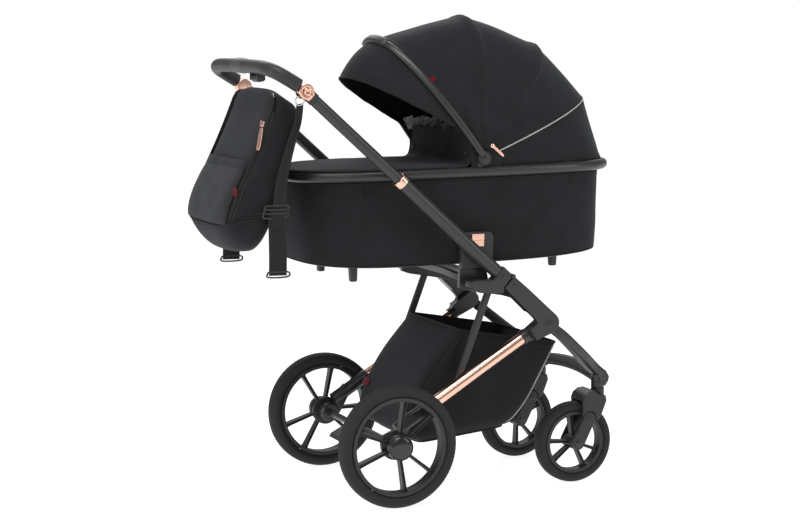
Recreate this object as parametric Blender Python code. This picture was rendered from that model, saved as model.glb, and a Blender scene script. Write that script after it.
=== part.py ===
"""Baby stroller: folding chassis with a carrycot, a hood and a bag hung on the handlebar.

Metres, +Z up, +X towards the front wheels, +Y towards the stroller's left side.
The origin is the bottom centre of the whole object's box.
"""
import math

import bmesh
import bpy
from mathutils import Matrix, Vector

# ---------------------------------------------------------------- driving dimensions
GAP = 0.0004                  # clearance between pieces that touch
X_CENTRE = 0.1279             # middle of the object's length, measured from the rear axle

# chassis side planes (distance from the middle plane)
SIDE_IN = 0.2085              # inner face of handle tubes and side frames
SIDE_OUT = 0.2415             # outer face of handle tubes and side frames
SIDE_MID = 0.2260             # where the outer plate of a side frame starts
TUBE_Y = 0.5 * (SIDE_IN + SIDE_OUT)

# handle tubes run on one straight line, seen from the side
TUBE_TILT = math.radians(42.0)
SEAM_X = 0.290                # where the tubes meet the front frame
SEAM_Z = 0.5164
TUBE_R = 0.0165
TUBE_WALL = 0.0022
UPPER_R = 0.0135
UPPER_WALL = 0.0018
TELESCOPE_U = -0.3565         # the sliding joint, along the line
TILT_U = -0.6800              # the handlebar's joint, along the line
FOLD_V = 0.0170               # the fold pins sit above the tube's middle line
PIN_R = 0.0052

# rear legs
KNEE_X = 0.398
KNEE_Z = 0.411
LEG_DIR = math.radians(211.4)
LEG_Y = 0.212
LEG_R = 0.014
LEG_START = 0.0720
LEG_END = 0.3850
REAR_AXLE_Z = 0.145

# front legs and casters
FRONT_DIR = math.radians(-39.4)
FRONT_LEG_T = 0.0260
SWIVEL_X = 0.572
SWIVEL_Y = 0.160
SWIVEL_R = 0.0165
SWIVEL_SPLIT_Z = 0.2310
FRONT_AXLE_X = 0.504
FRONT_AXLE_Z = 0.100
ARM_PIVOT_X = 0.5345
ARM_PIVOT_Z = 0.1600
ARM_R = 0.0165
FORK_IN = 0.0240
FORK_OUT = 0.0345

# wheels
REAR_Y = 0.250
REAR_WHEEL = dict(tire_r=0.145, tire_w=0.044, seat_r=0.1180, rim_in=0.1085, hub_r=0.0210)
FRONT_WHEEL = dict(tire_r=0.100, tire_w=0.040, seat_r=0.0780, rim_in=0.0690, hub_r=0.0160)
WHEEL_STEPS = 36
AXLE_R = 0.0052

# carrycot
COT_X = 0.2147
COT_A = 0.4187                # half length over the rim
COT_B = 0.1970                # half width over the rim
COT_POWER = 3.6
RIM_Z0 = 0.7620
RIM_Z1 = 0.7870
TUB_Z0 = 0.5590
COT_SLOPE = math.radians(0.95)
PIVOT_X = 0.2460
PIVOT_Z = 0.8075
PIVOT_Y = 0.1950

# hood hoops: angle from the forward direction (degrees), reach from the pivot
HOOD_BACK = (-3.0, 0.3790)
HOOD_PIPING = (20.5, 0.3680)
HOOD_REAR_HOOP = (51.5, 0.3400)
HOOD_TOP_HOOP = (86.5, 0.3350)
HOOD_BAR = (126.5, 0.3460)
HOOD_VISOR = (148.0, 0.3360)
HOOD_POWER = 2.2

BLACK_FRAME = ("black_frame", (0.018, 0.018, 0.020), 0.45, 0.0)
ROSE_GOLD = ("rose_gold", (0.80, 0.42, 0.31), 0.18, 1.0)
RUBBER = ("tire_foam", (0.026, 0.026, 0.028), 0.75, 0.0)
PLASTIC = ("black_plastic", (0.022, 0.022, 0.024), 0.42, 0.0)
FABRIC = ("charcoal_fabric", (0.020, 0.021, 0.023), 0.90, 0.0)
LINING = ("grey_lining", (0.32, 0.32, 0.33), 0.90, 0.0)
LEATHER = ("black_leather", (0.030, 0.030, 0.032), 0.55, 0.0)

SIDES = (("left", 1.0), ("right", -1.0))


# ---------------------------------------------------------------- mesh tools
def clear_scene():
    for thing in list(bpy.data.objects):
        bpy.data.objects.remove(thing, do_unlink=True)


def material(spec):
    name, colour, roughness, metallic = spec
    found = bpy.data.materials.get(name)
    if found:
        return found
    made = bpy.data.materials.new(name)
    made.use_nodes = True
    shader = made.node_tree.nodes["Principled BSDF"]
    shader.inputs["Base Color"].default_value = (*colour, 1.0)
    shader.inputs["Roughness"].default_value = roughness
    shader.inputs["Metallic"].default_value = metallic
    return made


def finish_object(name, bm, spec, origin=(0.0, 0.0, 0.0), smooth=40.0):
    """Turns a bmesh in world places into an object whose origin is the given point."""
    bmesh.ops.remove_doubles(bm, verts=bm.verts, dist=1e-6)
    bmesh.ops.recalc_face_normals(bm, faces=bm.faces)
    bmesh.ops.translate(bm, verts=bm.verts, vec=-Vector(origin))
    mesh = bpy.data.meshes.new(name)
    bm.to_mesh(mesh)
    bm.free()
    mesh.materials.append(material(spec))
    mesh.shade_smooth()
    mesh.set_sharp_from_angle(angle=math.radians(smooth))
    thing = bpy.data.objects.new(name, mesh)
    thing.location = origin
    bpy.context.scene.collection.objects.link(thing)
    return thing


def boolean(target, operation, *others):
    """Joins or cuts an object with guides, which the model then leaves out."""
    for other in others:
        other.hide_render = True
        other.display_type = "WIRE"
        step = target.modifiers.new(operation.lower(), "BOOLEAN")
        step.operation = operation
        step.solver = "EXACT"
        step.object = other
    return target


def ladder_cap(bm, loop):
    """Closes a ring that is the same on both sides of the middle plane with strips across it."""
    count = len(loop)
    for k in range(count // 2 - 1):
        bm.faces.new((loop[k], loop[k + 1], loop[count - 2 - k], loop[count - 1 - k]))


def rings_to_mesh(bm, rings, closed=False, ladder=False):
    """Skins rings of points that have equal counts; open ends are capped."""
    loops = [[bm.verts.new(point) for point in ring] for ring in rings]
    count = len(loops[0])
    pairs = list(zip(loops, loops[1:]))
    if closed:
        pairs.append((loops[-1], loops[0]))
    for low, high in pairs:
        for i in range(count):
            j = (i + 1) % count
            bm.faces.new((low[i], low[j], high[j], high[i]))
    if closed:
        return
    if ladder:
        ladder_cap(bm, loops[0])
        ladder_cap(bm, loops[-1])
        return
    bm.faces.new(list(reversed(loops[0])))
    bm.faces.new(loops[-1])


def loft(name, rings, spec, origin=(0.0, 0.0, 0.0), closed=False, ladder=False, smooth=40.0):
    bm = bmesh.new()
    rings_to_mesh(bm, rings, closed, ladder)
    return finish_object(name, bm, spec, origin, smooth)


def prism(name, outline, y0, y1, spec, origin=(0.0, 0.0, 0.0), bevel=0.0, segments=2):
    """An outline of (x, z) points made solid between two Y planes, with rounded edges."""
    bm = bmesh.new()
    low = min(y0, y1)
    high = max(y0, y1)
    rings_to_mesh(bm, [[(x, low, z) for x, z in outline], [(x, high, z) for x, z in outline]])
    if bevel:
        bmesh.ops.recalc_face_normals(bm, faces=bm.faces)
        edges = [e for e in bm.edges if abs(e.verts[0].co.y - e.verts[1].co.y) < 1e-6]
        bmesh.ops.bevel(bm, geom=edges, offset=bevel, segments=segments, profile=0.6, affect="EDGES")
    return finish_object(name, bm, spec, origin)


def lathe(name, profile, centre, axis, spec, steps=32, closed=False, origin=None):
    """Turns (radius, height) points about an axis; a radius of zero closes the end."""
    axis = Vector(axis).normalized()
    side = axis.orthogonal().normalized()
    other = axis.cross(side)
    centre = Vector(centre)
    bm = bmesh.new()
    rows = []
    for radius, height in profile:
        base = centre + axis * height
        if radius < 1e-6:
            rows.append([bm.verts.new(base)])
            continue
        row = []
        for i in range(steps):
            turn = 2.0 * math.pi * i / steps
            row.append(bm.verts.new(base + radius * (side * math.cos(turn) + other * math.sin(turn))))
        rows.append(row)
    pairs = list(zip(rows, rows[1:]))
    if closed:
        pairs.append((rows[-1], rows[0]))
    for low, high in pairs:
        for i in range(steps):
            j = (i + 1) % steps
            corners = [low[i % len(low)], low[j % len(low)], high[j % len(high)], high[i % len(high)]]
            face = list(dict.fromkeys(corners))
            if len(face) > 2:
                bm.faces.new(face)
    return finish_object(name, bm, spec, origin if origin is not None else centre)


def sweep_rings(points, sizes, sides=16, up=(0.0, 0.0, 1.0), power=2.0):
    """Rings of a superellipse section (half across, half along up) carried along points."""
    points = [Vector(p) for p in points]
    rings = []
    for i, point in enumerate(points):
        before = points[max(i - 1, 0)]
        after = points[min(i + 1, len(points) - 1)]
        along = (after - before).normalized()
        across = along.cross(Vector(up)).normalized()
        high = across.cross(along).normalized()
        size = sizes[i] if isinstance(sizes, list) else sizes
        ring = []
        for k in range(sides):
            turn = 2.0 * math.pi * k / sides
            c = math.cos(turn)
            s = math.sin(turn)
            a = math.copysign(abs(c) ** (2.0 / power), c) * size[0]
            b = math.copysign(abs(s) ** (2.0 / power), s) * size[1]
            ring.append(point + across * a + high * b)
        rings.append(ring)
    return rings


def smooth_path(points, steps):
    """A Catmull-Rom curve through hand-chosen points."""
    points = [Vector(p) for p in points]
    padded = [2 * points[0] - points[1]] + points + [2 * points[-1] - points[-2]]
    path = []
    for i in range(1, len(padded) - 2):
        p0, p1, p2, p3 = padded[i - 1:i + 3]
        for k in range(steps):
            t = k / steps
            path.append(0.5 * (2 * p1 + (p2 - p0) * t + (2 * p0 - 5 * p1 + 4 * p2 - p3) * t * t
                               + (3 * p1 - p0 - 3 * p2 + p3) * t ** 3))
    path.append(points[-1])
    return path


def polar(centre, radius, degrees):
    turn = math.radians(degrees)
    return (centre[0] + radius * math.cos(turn), centre[1] + radius * math.sin(turn))


def arc(centre, radius, start, end, steps):
    """Points (x, z) of an arc, angles in degrees from +X towards +Z."""
    return [polar(centre, radius, start + (end - start) * i / steps) for i in range(steps + 1)]


def along_tube(u, v=0.0):
    """A place (x, z) in the handle line's own frame: u down towards the front, v above it."""
    c = math.cos(TUBE_TILT)
    s = math.sin(TUBE_TILT)
    return (SEAM_X + u * c + v * s, SEAM_Z - u * s + v * c)


def on_tube(u, y, v=0.0):
    x, z = along_tube(u, v)
    return Vector((x, y, z))


def on_leg(r, v=0.0):
    """A place (x, z) on a rear leg: r from the knee, v above the leg's middle line."""
    c = math.cos(LEG_DIR)
    s = math.sin(LEG_DIR)
    return (KNEE_X + r * c + v * s, KNEE_Z + r * s - v * c)


def super_ring(cx, a, b, z, count=36, power=COT_POWER, lift=0.0):
    """A level oval ring; its two ends rise by lift."""
    ring = []
    for k in range(count):
        turn = 2.0 * math.pi * (k + 0.5) / count
        c = math.cos(turn)
        s = math.sin(turn)
        x = math.copysign(abs(c) ** (2.0 / power), c)
        y = math.copysign(abs(s) ** (2.0 / power), s)
        ring.append((cx + a * x, b * y, z + lift * abs(x) ** 4))
    return ring


FOLD_PIN = along_tube(0.0, FOLD_V)
KNEE = (KNEE_X, KNEE_Z)
ARM_PIVOT = (ARM_PIVOT_X, ARM_PIVOT_Z)
FRONT_AXLE = (FRONT_AXLE_X, FRONT_AXLE_Z)
STRUT_TOP = (0.2670, 0.5130)
STRUT_FOOT = on_leg(0.2590, 0.0)


# ---------------------------------------------------------------- front frame
def side_frame(name, s):
    """Cast side arm with its fold pin: full thickness behind, a thinner outer plate at the knee."""
    start = 0.0015
    seam = [along_tube(start, -0.0185), along_tube(start, 0.0170), along_tube(0.0050, 0.0185)]
    plate = seam + [along_tube(0.050, 0.0200)]
    plate += arc(KNEE, 0.0262, 46.0, -58.0, 6)
    plate += [on_leg(0.050, -0.0165), on_leg(0.050, 0.0165), on_leg(0.033, 0.0168)]
    plate += [(0.3655, 0.4150), along_tube(0.112, -0.0222), along_tube(0.060, -0.0205)]
    block = seam + [along_tube(0.092, 0.0198), along_tube(0.092, -0.0212)]
    outer = prism(name, plate, s * (SIDE_MID - 0.003), s * SIDE_OUT, BLACK_FRAME, bevel=0.0022)
    cutter = prism(name + "_knee_guide", arc(KNEE, 0.0530, -180.0, 174.0, 40), s * 0.20, s * SIDE_MID,
                   BLACK_FRAME)
    inner = prism(name + "_inner_guide", block, s * SIDE_IN, s * (SIDE_MID + 0.006), BLACK_FRAME,
                  bevel=0.0015)
    pin = lathe(name + "_pin_guide", [(0.0, -0.0175), (PIN_R, -0.0175), (PIN_R, 0.0175), (0.0, 0.0175)],
                (FOLD_PIN[0], s * TUBE_Y, FOLD_PIN[1]), (0, 1, 0), BLACK_FRAME, 20)
    boolean(outer, "UNION", inner)
    boolean(outer, "DIFFERENCE", cutter)
    boolean(outer, "UNION", pin)
    return outer


def front_leg(name, s):
    """Leg from the knee down to the caster head, which is cast onto it."""
    mid = (0.493, 0.341)
    first = polar(KNEE, 0.0240, math.degrees(FRONT_DIR))
    route = [
        (first[0], s * 0.2165, first[1]),
        (0.445, s * 0.2140, 0.3745),
        (mid[0], s * 0.1960, 0.3340),
        (0.545, s * 0.1680, 0.2910),
        (0.574, s * SWIVEL_Y, 0.2675),
    ]
    path = smooth_path(route, 3)
    sizes = []
    for i in range(len(path)):
        t = i / (len(path) - 1)
        sizes.append((0.0085 + 0.0080 * min(1.0, 1.6 * t), 0.5 * FRONT_LEG_T))
    leg = loft(name, sweep_rings(path, sizes, 12, power=3.0), BLACK_FRAME)
    nose = [(0.556, 0.262), (0.574, 0.284), (0.590, 0.272), (0.5985, 0.2575), (0.5965, 0.2470), (0.588, 0.2345)]
    nose += [(0.574, 0.2340), (0.562, 0.2400)]
    head = prism(name + "_nose_guide", nose, s * (SWIVEL_Y - 0.014), s * (SWIVEL_Y + 0.014),
                 BLACK_FRAME, bevel=0.004)
    socket = lathe(name + "_socket_guide",
                   [(0.0, 0.0), (SWIVEL_R - 0.0012, 0.0), (SWIVEL_R, 0.0014), (SWIVEL_R, 0.041), (0.012, 0.047),
                    (0.0, 0.047)],
                   (SWIVEL_X, s * SWIVEL_Y, SWIVEL_SPLIT_Z + GAP), (0, 0, 1), BLACK_FRAME, 20)
    boolean(leg, "UNION", head, socket)
    return leg


def footrest_bar(name):
    """Arched blade between the two caster heads."""
    half = SWIVEL_Y - 0.0180
    points = []
    for i in range(13):
        t = -1.0 + 2.0 * i / 12
        points.append((0.577 + 0.006 * (1 - t * t), half * t, 0.2560 + 0.010 * (1 - t * t)))
    return loft(name, sweep_rings(points, (0.0165, 0.0085), 12, up=(-0.75, 0.0, 0.66), power=2.6), BLACK_FRAME)


BRIDGE_IN = 0.1700
BRIDGE_OUT = 0.1835


def bridge_arm(name, s):
    """Arm that carries an adapter inboard of the handle tube, bolted to the side frame."""
    outline = [(0.186, 0.5000), (0.205, 0.4930), (0.300, 0.4760), (0.345, 0.4620), (0.361, 0.4690)]
    outline += [(0.352, 0.4880), (0.300, 0.5080), (0.262, 0.5190), (0.256, 0.5460), (0.188, 0.5460)]
    arm = prism(name, outline, s * BRIDGE_IN, s * BRIDGE_OUT, BLACK_FRAME, bevel=0.002)
    boss = lathe(name + "_boss", [(0.0, 0.0), (0.0120, 0.0), (0.0120, 0.032), (0.0, 0.032)],
                 (0.3450, s * (BRIDGE_OUT - 0.0074), 0.4750), (0, s, 0), BLACK_FRAME, 20)
    return arm, boss


def cot_bridge(name):
    """Cross member under the carrycot: a loop handle between two adapter arms."""
    outer = []
    inner = []
    half = BRIDGE_IN + 0.003
    for k in range(28):
        turn = 2.0 * math.pi * (k + 0.5) / 28
        c = math.cos(turn)
        s = math.sin(turn)
        px = math.copysign(abs(c) ** 0.7, c)
        py = math.copysign(abs(s) ** 0.35, s)
        outer.append((0.2180 + 0.0300 * px, half * py))
        inner.append((0.2180 + 0.0150 * px, (half - 0.033) * py))
    rings = []
    for ring, drop in ((outer, 0.0), (outer, 0.014), (inner, 0.014), (inner, 0.0)):
        rings.append([(x, y, 0.5260 - drop + 0.012 * (1.0 - (y / half) ** 2)) for x, y in ring])
    loop = loft(name, rings, BLACK_FRAME, closed=True)
    for label, s in SIDES:
        boolean(loop, "UNION", *bridge_arm(f"{name}_arm_guide_{label}", s))
    return loop


def adapter(name, s):
    """Housing that the carrycot locks into, with a window for its release button."""
    outline = [(0.1830, 0.5475), (0.2520, 0.5475), (0.2640, 0.5600), (0.2660, 0.6180)]
    outline += arc((0.2520, 0.6200), 0.0140, 0.0, 90.0, 3)
    outline += arc((0.1970, 0.6200), 0.0140, 90.0, 180.0, 3)
    body = prism(name, outline, s * 0.1845, s * 0.2045, PLASTIC, bevel=0.003)
    window = prism(name + "_window_guide", [(0.2078, 0.5998), (0.2402, 0.5998), (0.2402, 0.6302), (0.2078, 0.6302)],
                   s * 0.1940, s * 0.2100, PLASTIC)
    boolean(body, "DIFFERENCE", window)
    return body


def adapter_button(name, s):
    """Two-step push button in the adapter's window."""
    bm = bmesh.new()
    steps = [(0.6000, 0.1990), (0.6000, 0.2062), (0.6145, 0.2062), (0.6150, 0.2052), (0.6150, 0.2075)]
    steps += [(0.6298, 0.2075), (0.6298, 0.1990)]
    low = [(0.2082, s * y, z) for z, y in steps]
    high = [(0.2398, s * y, z) for z, y in steps]
    rings_to_mesh(bm, [low, high])
    return finish_object(name, bm, ROSE_GOLD, (0.224, s * 0.1990, 0.615))


# ---------------------------------------------------------------- handle
def hinge_head(name, s):
    """Casting on a handle tube's lower end, with the lug that the strut hangs on."""
    relief = PIN_R + 2.0 * GAP
    end = -0.0012
    outline = [along_tube(-0.0340, 0.0182), along_tube(-relief, 0.0182)]
    outline += [along_tube(-relief * math.sin(t), FOLD_V - relief * math.cos(t)) for t in (1.2, 0.7, 0.25)]
    outline += [along_tube(end, -0.0180), (0.2770, 0.4905), (0.2560, 0.4890)]
    outline += [(0.2150, 0.4930), (0.1880, 0.5080), (0.1905, 0.5200), (0.2050, 0.5240), (0.2480, 0.5230)]
    outline += [along_tube(-0.0340, -0.0182)]
    return prism(name, outline, s * SIDE_IN, s * SIDE_OUT, BLACK_FRAME, (FOLD_PIN[0], 0.0, FOLD_PIN[1]),
                 bevel=0.0030)


def tube(name, s, u0, u1, radius, wall, spec, origin_u):
    """Hollow tube on the handle's line between two places along it."""
    length = u1 - u0
    profile = [(radius, 0.0), (radius, length), (radius - wall, length), (radius - wall, 0.0)]
    start = on_tube(u0, s * TUBE_Y)
    axis = on_tube(u1, s * TUBE_Y) - start
    return lathe(name, profile, start, axis, spec, 24, closed=True, origin=on_tube(origin_u, s * TUBE_Y))


def telescope_collar(name, s):
    """Polished clamp ring where the upper tube slides into the lower one."""
    outer = TUBE_R + 0.0022
    inner = UPPER_R + GAP
    profile = [(inner, 0.0), (outer - 0.0015, 0.0), (outer, 0.0015), (outer, 0.0165)]
    profile += [(outer - 0.0015, 0.0180), (inner, 0.0180)]
    start = on_tube(TELESCOPE_U - 0.0180, s * TUBE_Y)
    axis = on_tube(TELESCOPE_U, s * TUBE_Y) - start
    return lathe(name, profile, start, axis, ROSE_GOLD, 24, closed=True)


def tilt_collar(name, s):
    """Polished knuckle at the top of the upper tube, drilled for its push button."""
    centre = on_tube(TILT_U, s * TUBE_Y)
    outer = 0.0182
    profile = [(0.0, -0.0150), (outer - 0.0018, -0.0150), (outer, -0.0132), (outer, 0.0132)]
    profile += [(outer - 0.0018, 0.0150), (0.0, 0.0150)]
    body = lathe(name, profile, centre, (0, s, 0), ROSE_GOLD, 24)
    stub_start = on_tube(TILT_U + 0.006, s * TUBE_Y)
    stub_end = on_tube(TILT_U + 0.0300, s * TUBE_Y)
    length = (stub_end - stub_start).length
    stub = lathe(name + "_stub_guide", [(0.0, 0.0), (UPPER_R + 0.0020, 0.0), (UPPER_R + 0.0020, length), (0.0, length)],
                 stub_start, stub_end - stub_start, ROSE_GOLD, 20)
    hole = lathe(name + "_hole_guide", [(0.0, 0.0), (0.0092, 0.0), (0.0092, 0.020), (0.0, 0.020)],
                 centre + Vector((0, s * 0.0070, 0)), (0, s, 0), ROSE_GOLD, 20)
    boolean(body, "UNION", stub)
    boolean(body, "DIFFERENCE", hole)
    return body


def tilt_button(name, s):
    """Round push button in the knuckle's outer face."""
    centre = on_tube(TILT_U, s * (TUBE_Y + 0.0110))
    profile = [(0.0, 0.0), (0.0088, 0.0), (0.0088, 0.0062), (0.0074, 0.0074), (0.0, 0.0080)]
    return lathe(name, profile, centre, (0, s, 0), ROSE_GOLD, 20)


def handle_path():
    """Middle line of the handlebar, from the right knuckle round to the left one."""
    x, z = along_tube(TILT_U - 0.0200)
    half = [
        (x, TUBE_Y, z),
        (x - 0.030, TUBE_Y - 0.001, z + 0.018),
        (x - 0.050, TUBE_Y - 0.010, z + 0.030),
        (x - 0.060, TUBE_Y - 0.038, z + 0.037),
        (x - 0.062, TUBE_Y - 0.085, z + 0.040),
        (x - 0.062, 0.060, z + 0.041),
    ]
    right = [(px, -py, pz) for px, py, pz in half]
    left = [(px, py, pz) for px, py, pz in reversed(half)]
    return smooth_path(right + [(x - 0.062, 0.0, z + 0.041)] + left, 2)


def handlebar(name):
    """Bent handlebar with its grip; its origin is on the tilt axis."""
    pivot = along_tube(TILT_U)
    return loft(name, sweep_rings(handle_path(), (0.0165, 0.0165), 14, up=(0.6, 0.0, 0.8)), LEATHER,
                (pivot[0], 0.0, pivot[1]))


def fold_trigger(name):
    """Small lever under the middle of the handlebar."""
    x = handle_path()[len(handle_path()) // 2].x
    z = handle_path()[len(handle_path()) // 2].z - 0.0172
    outline = [(x + 0.008, z), (x + 0.012, z - 0.006), (x + 0.010, z - 0.012), (x - 0.002, z - 0.014)]
    outline += [(x - 0.008, z - 0.008), (x - 0.006, z)]
    return prism(name, [(px, pz - 0.0040) for px, pz in outline], -0.136, -0.092, PLASTIC,
                 (x, 0.0, z + 0.004), bevel=0.0018)


# ---------------------------------------------------------------- rear legs
def rear_knuckle(name, s):
    """Black socket that holds a rear leg's upper end and turns at the knee."""
    plate = arc(KNEE, 0.0215, -58.0, 121.0, 8)
    plate += [on_leg(0.0600, 0.0155), on_leg(0.0600, -0.0155)]
    body = prism(name, plate, s * (SIDE_IN + GAP), s * (SIDE_MID - GAP), BLACK_FRAME, (KNEE_X, 0.0, KNEE_Z),
                 bevel=0.0015)
    start = on_leg(0.0535)
    end = on_leg(LEG_START - GAP)
    axis = Vector((end[0] - start[0], 0.0, end[1] - start[1]))
    r = LEG_R + 0.0030
    cup = lathe(name + "_cup_guide", [(0.0, 0.0), (r - 0.002, 0.0), (r, 0.002), (r, axis.length), (0.0, axis.length)],
                (start[0], s * LEG_Y, start[1]), axis, BLACK_FRAME, 20)
    boolean(body, "UNION", cup)
    return body


def rear_tube(name, s):
    """Polished rear leg tube."""
    start = on_leg(LEG_START)
    end = on_leg(LEG_END)
    axis = Vector((end[0] - start[0], 0.0, end[1] - start[1]))
    wall = 0.0020
    profile = [(LEG_R, 0.0), (LEG_R, axis.length), (LEG_R - wall, axis.length), (LEG_R - wall, 0.0)]
    return lathe(name, profile, (start[0], s * LEG_Y, start[1]), axis, ROSE_GOLD, 24, closed=True)


def hub_bracket(name, s):
    """Casting at a rear leg's foot: socket, spring housing and the axle stub."""
    start = on_leg(LEG_END + GAP)
    end = on_leg(LEG_END + 0.066)
    axis = Vector((end[0] - start[0], 0.0, end[1] - start[1]))
    r = LEG_R + 0.0020
    body = lathe(name, [(0.0, 0.0), (r, 0.0), (r, axis.length), (0.0, axis.length)],
                 (start[0], s * 0.2095, start[1]), axis, BLACK_FRAME, 20)
    hub = lathe(name + "_hub_guide", [(0.0, 0.0), (0.021, 0.0), (0.0235, 0.003), (0.0235, 0.0330), (0.0, 0.0330)],
                (0.0, s * 0.1925, REAR_AXLE_Z), (0, s, 0), BLACK_FRAME, 20)
    spring = [(0.012, 0.166), (0.030, 0.203), (0.0420, 0.2145), (0.0515, 0.1980), (0.049, 0.184), (0.034, 0.155),
              (0.016, 0.128), (0.004, 0.130)]
    web = prism(name + "_web_guide", spring, s * 0.1960, s * 0.2180, BLACK_FRAME, bevel=0.003)
    stub = lathe(name + "_stub_guide", [(0.0, 0.0), (AXLE_R, 0.0), (AXLE_R, 0.042), (0.0, 0.042)],
                 (0.0, s * 0.2200, REAR_AXLE_Z), (0, s, 0), BLACK_FRAME, 12)
    boolean(body, "UNION", hub, web, stub)
    return body


def rear_axle(name):
    """Cross rod between the two hub brackets."""
    half = 0.1925 - GAP
    profile = [(0.0, -half), (0.0082, -half), (0.0082, half), (0.0, half)]
    return lathe(name, profile, (0.0, 0.0, REAR_AXLE_Z), (0, 1, 0), BLACK_FRAME, 20)


def brake_pedal(name):
    """Foot pedal round the middle of the cross rod."""
    bore = 0.0086
    outline = arc((0.0, REAR_AXLE_Z), 0.0150, 20.0, 160.0, 8)
    outline += [(-0.030, 0.1440), (-0.060, 0.1280), (-0.0640, 0.1200), (-0.0560, 0.1160), (-0.0300, 0.1240)]
    outline += arc((0.0, REAR_AXLE_Z), 0.0150, 250.0, 350.0, 6)
    pedal = prism(name, outline, -0.036, 0.036, PLASTIC, (0.0, 0.0, REAR_AXLE_Z), bevel=0.0020)
    hole = lathe(name + "_bore_guide", [(0.0, -0.05), (bore, -0.05), (bore, 0.05), (0.0, 0.05)],
                 (0.0, 0.0, REAR_AXLE_Z), (0, 1, 0), PLASTIC, 20)
    boolean(pedal, "DIFFERENCE", hole)
    return pedal


def strut(name, s):
    """Flat link between a hinge head's lug and a rear leg."""
    foot = Vector((STRUT_FOOT[0], STRUT_FOOT[1]))
    top = Vector((STRUT_TOP[0], STRUT_TOP[1]))
    lean = math.degrees(math.atan2(top.y - foot.y, top.x - foot.x))
    outline = arc(foot, 0.0088, lean + 90.0, lean + 270.0, 7) + arc(top, 0.0080, lean - 90.0, lean + 90.0, 7)
    return prism(name, outline, s * 0.1855, s * 0.1975, BLACK_FRAME, (STRUT_FOOT[0], 0.0, STRUT_FOOT[1]),
                 bevel=0.0030)


# ---------------------------------------------------------------- wheels
def tire(name, centre, wheel):
    """Foam tire with a crowned tread."""
    half = 0.5 * wheel["tire_w"]
    seat = wheel["seat_r"]
    thick = wheel["tire_r"] / math.cos(math.pi / WHEEL_STEPS) - seat
    shape = [(0.0, 0.62), (0.35, 1.0), (0.75, 0.88), (1.0, 0.42)]
    shape += [(rise, -out) for rise, out in reversed(shape)]
    profile = [(seat + thick * rise, half * out) for rise, out in shape]
    return lathe(name, profile, centre, (0, 1, 0), RUBBER, WHEEL_STEPS, closed=True)


def rim(name, centre, wheel, s, hub_profile, phase):
    """Rim ring on six spokes that stand in three pairs, with its hub."""
    seat = wheel["seat_r"] - GAP
    inner = wheel["rim_in"]
    half = 0.36 * wheel["tire_w"]
    centre = Vector(centre)
    ring = lathe(name, [(inner, -half), (seat, -half), (seat, half), (inner, half)],
                 centre, (0, 1, 0), PLASTIC, WHEEL_STEPS, closed=True)
    hub = lathe(name + "_hub_guide", hub_profile, centre, (0, s, 0), PLASTIC, 20)
    spokes = []
    for k in range(6):
        degrees = phase + 120.0 * (k // 2) + (21.5 if k % 2 else -21.5)
        along = Vector((math.cos(math.radians(degrees)), 0.0, math.sin(math.radians(degrees))))
        across = Vector((-along.z, 0.0, along.x))
        rings = []
        for radius, wide, deep in ((wheel["hub_r"] - 0.004, 0.0042, 0.0088), (inner + 0.0030, 0.0062, 0.0100)):
            base = centre + along * radius
            corners = ((-1, -1), (1, -1), (1, 1), (-1, 1))
            rings.append([base + across * (wide * a) + Vector((0.0, deep * b, 0.0)) for a, b in corners])
        spokes.append(loft(f"{name}_spoke_guide_{k}", rings, PLASTIC))
    boolean(ring, "UNION", *spokes)
    boolean(ring, "UNION", hub)
    return ring


def rear_hub_profile():
    """Barrel and domed cap, with a blind bore for the axle stub on the inner side."""
    bore = AXLE_R + 0.0005
    return [
        (0.0, 0.0150), (bore, 0.0150), (bore, -0.0235), (0.0320, -0.0235), (0.0350, -0.0205), (0.0350, -0.0130),
        (0.0240, -0.0090), (0.0240, 0.0060), (0.0300, 0.0080), (0.0300, 0.0250), (0.0270, 0.0295), (0.0, 0.0320),
    ]


def front_hub_profile():
    """Plain barrel drilled right through for the axle."""
    bore = AXLE_R + 0.0005
    half = FORK_IN - 0.0008
    return [(bore, -half), (0.0155, -half), (0.0175, -0.0150), (0.0175, 0.0150), (0.0155, half), (bore, half)]


def front_rim(name, centre, s, phase):
    """Front rim; its hub ring is turned as a closed loop because the axle passes through."""
    wheel = FRONT_WHEEL
    plug = [(0.0, -0.020), (0.0160, -0.020), (0.0160, 0.020), (0.0, 0.020)]
    made = rim(name, centre, wheel, s, plug, phase)
    barrel = lathe(name + "_barrel_guide", front_hub_profile(), centre, (0, s, 0), PLASTIC, 20, closed=True)
    bore = lathe(name + "_bore_guide", [(0.0, -0.05), (AXLE_R + 0.0005, -0.05), (AXLE_R + 0.0005, 0.05), (0.0, 0.05)],
                 centre, (0, 1, 0), PLASTIC, 12)
    boolean(made, "DIFFERENCE", bore)
    boolean(made, "UNION", barrel)
    return made


# ---------------------------------------------------------------- casters
def wheel_room(name, s):
    """Cutter: the space that a front wheel turns in."""
    return lathe(name, [(0.0, -FORK_IN), (0.1050, -FORK_IN), (0.1050, FORK_IN), (0.0, FORK_IN)],
                 (FRONT_AXLE_X, s * SWIVEL_Y, FRONT_AXLE_Z), (0, 1, 0), PLASTIC, 40)


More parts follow.
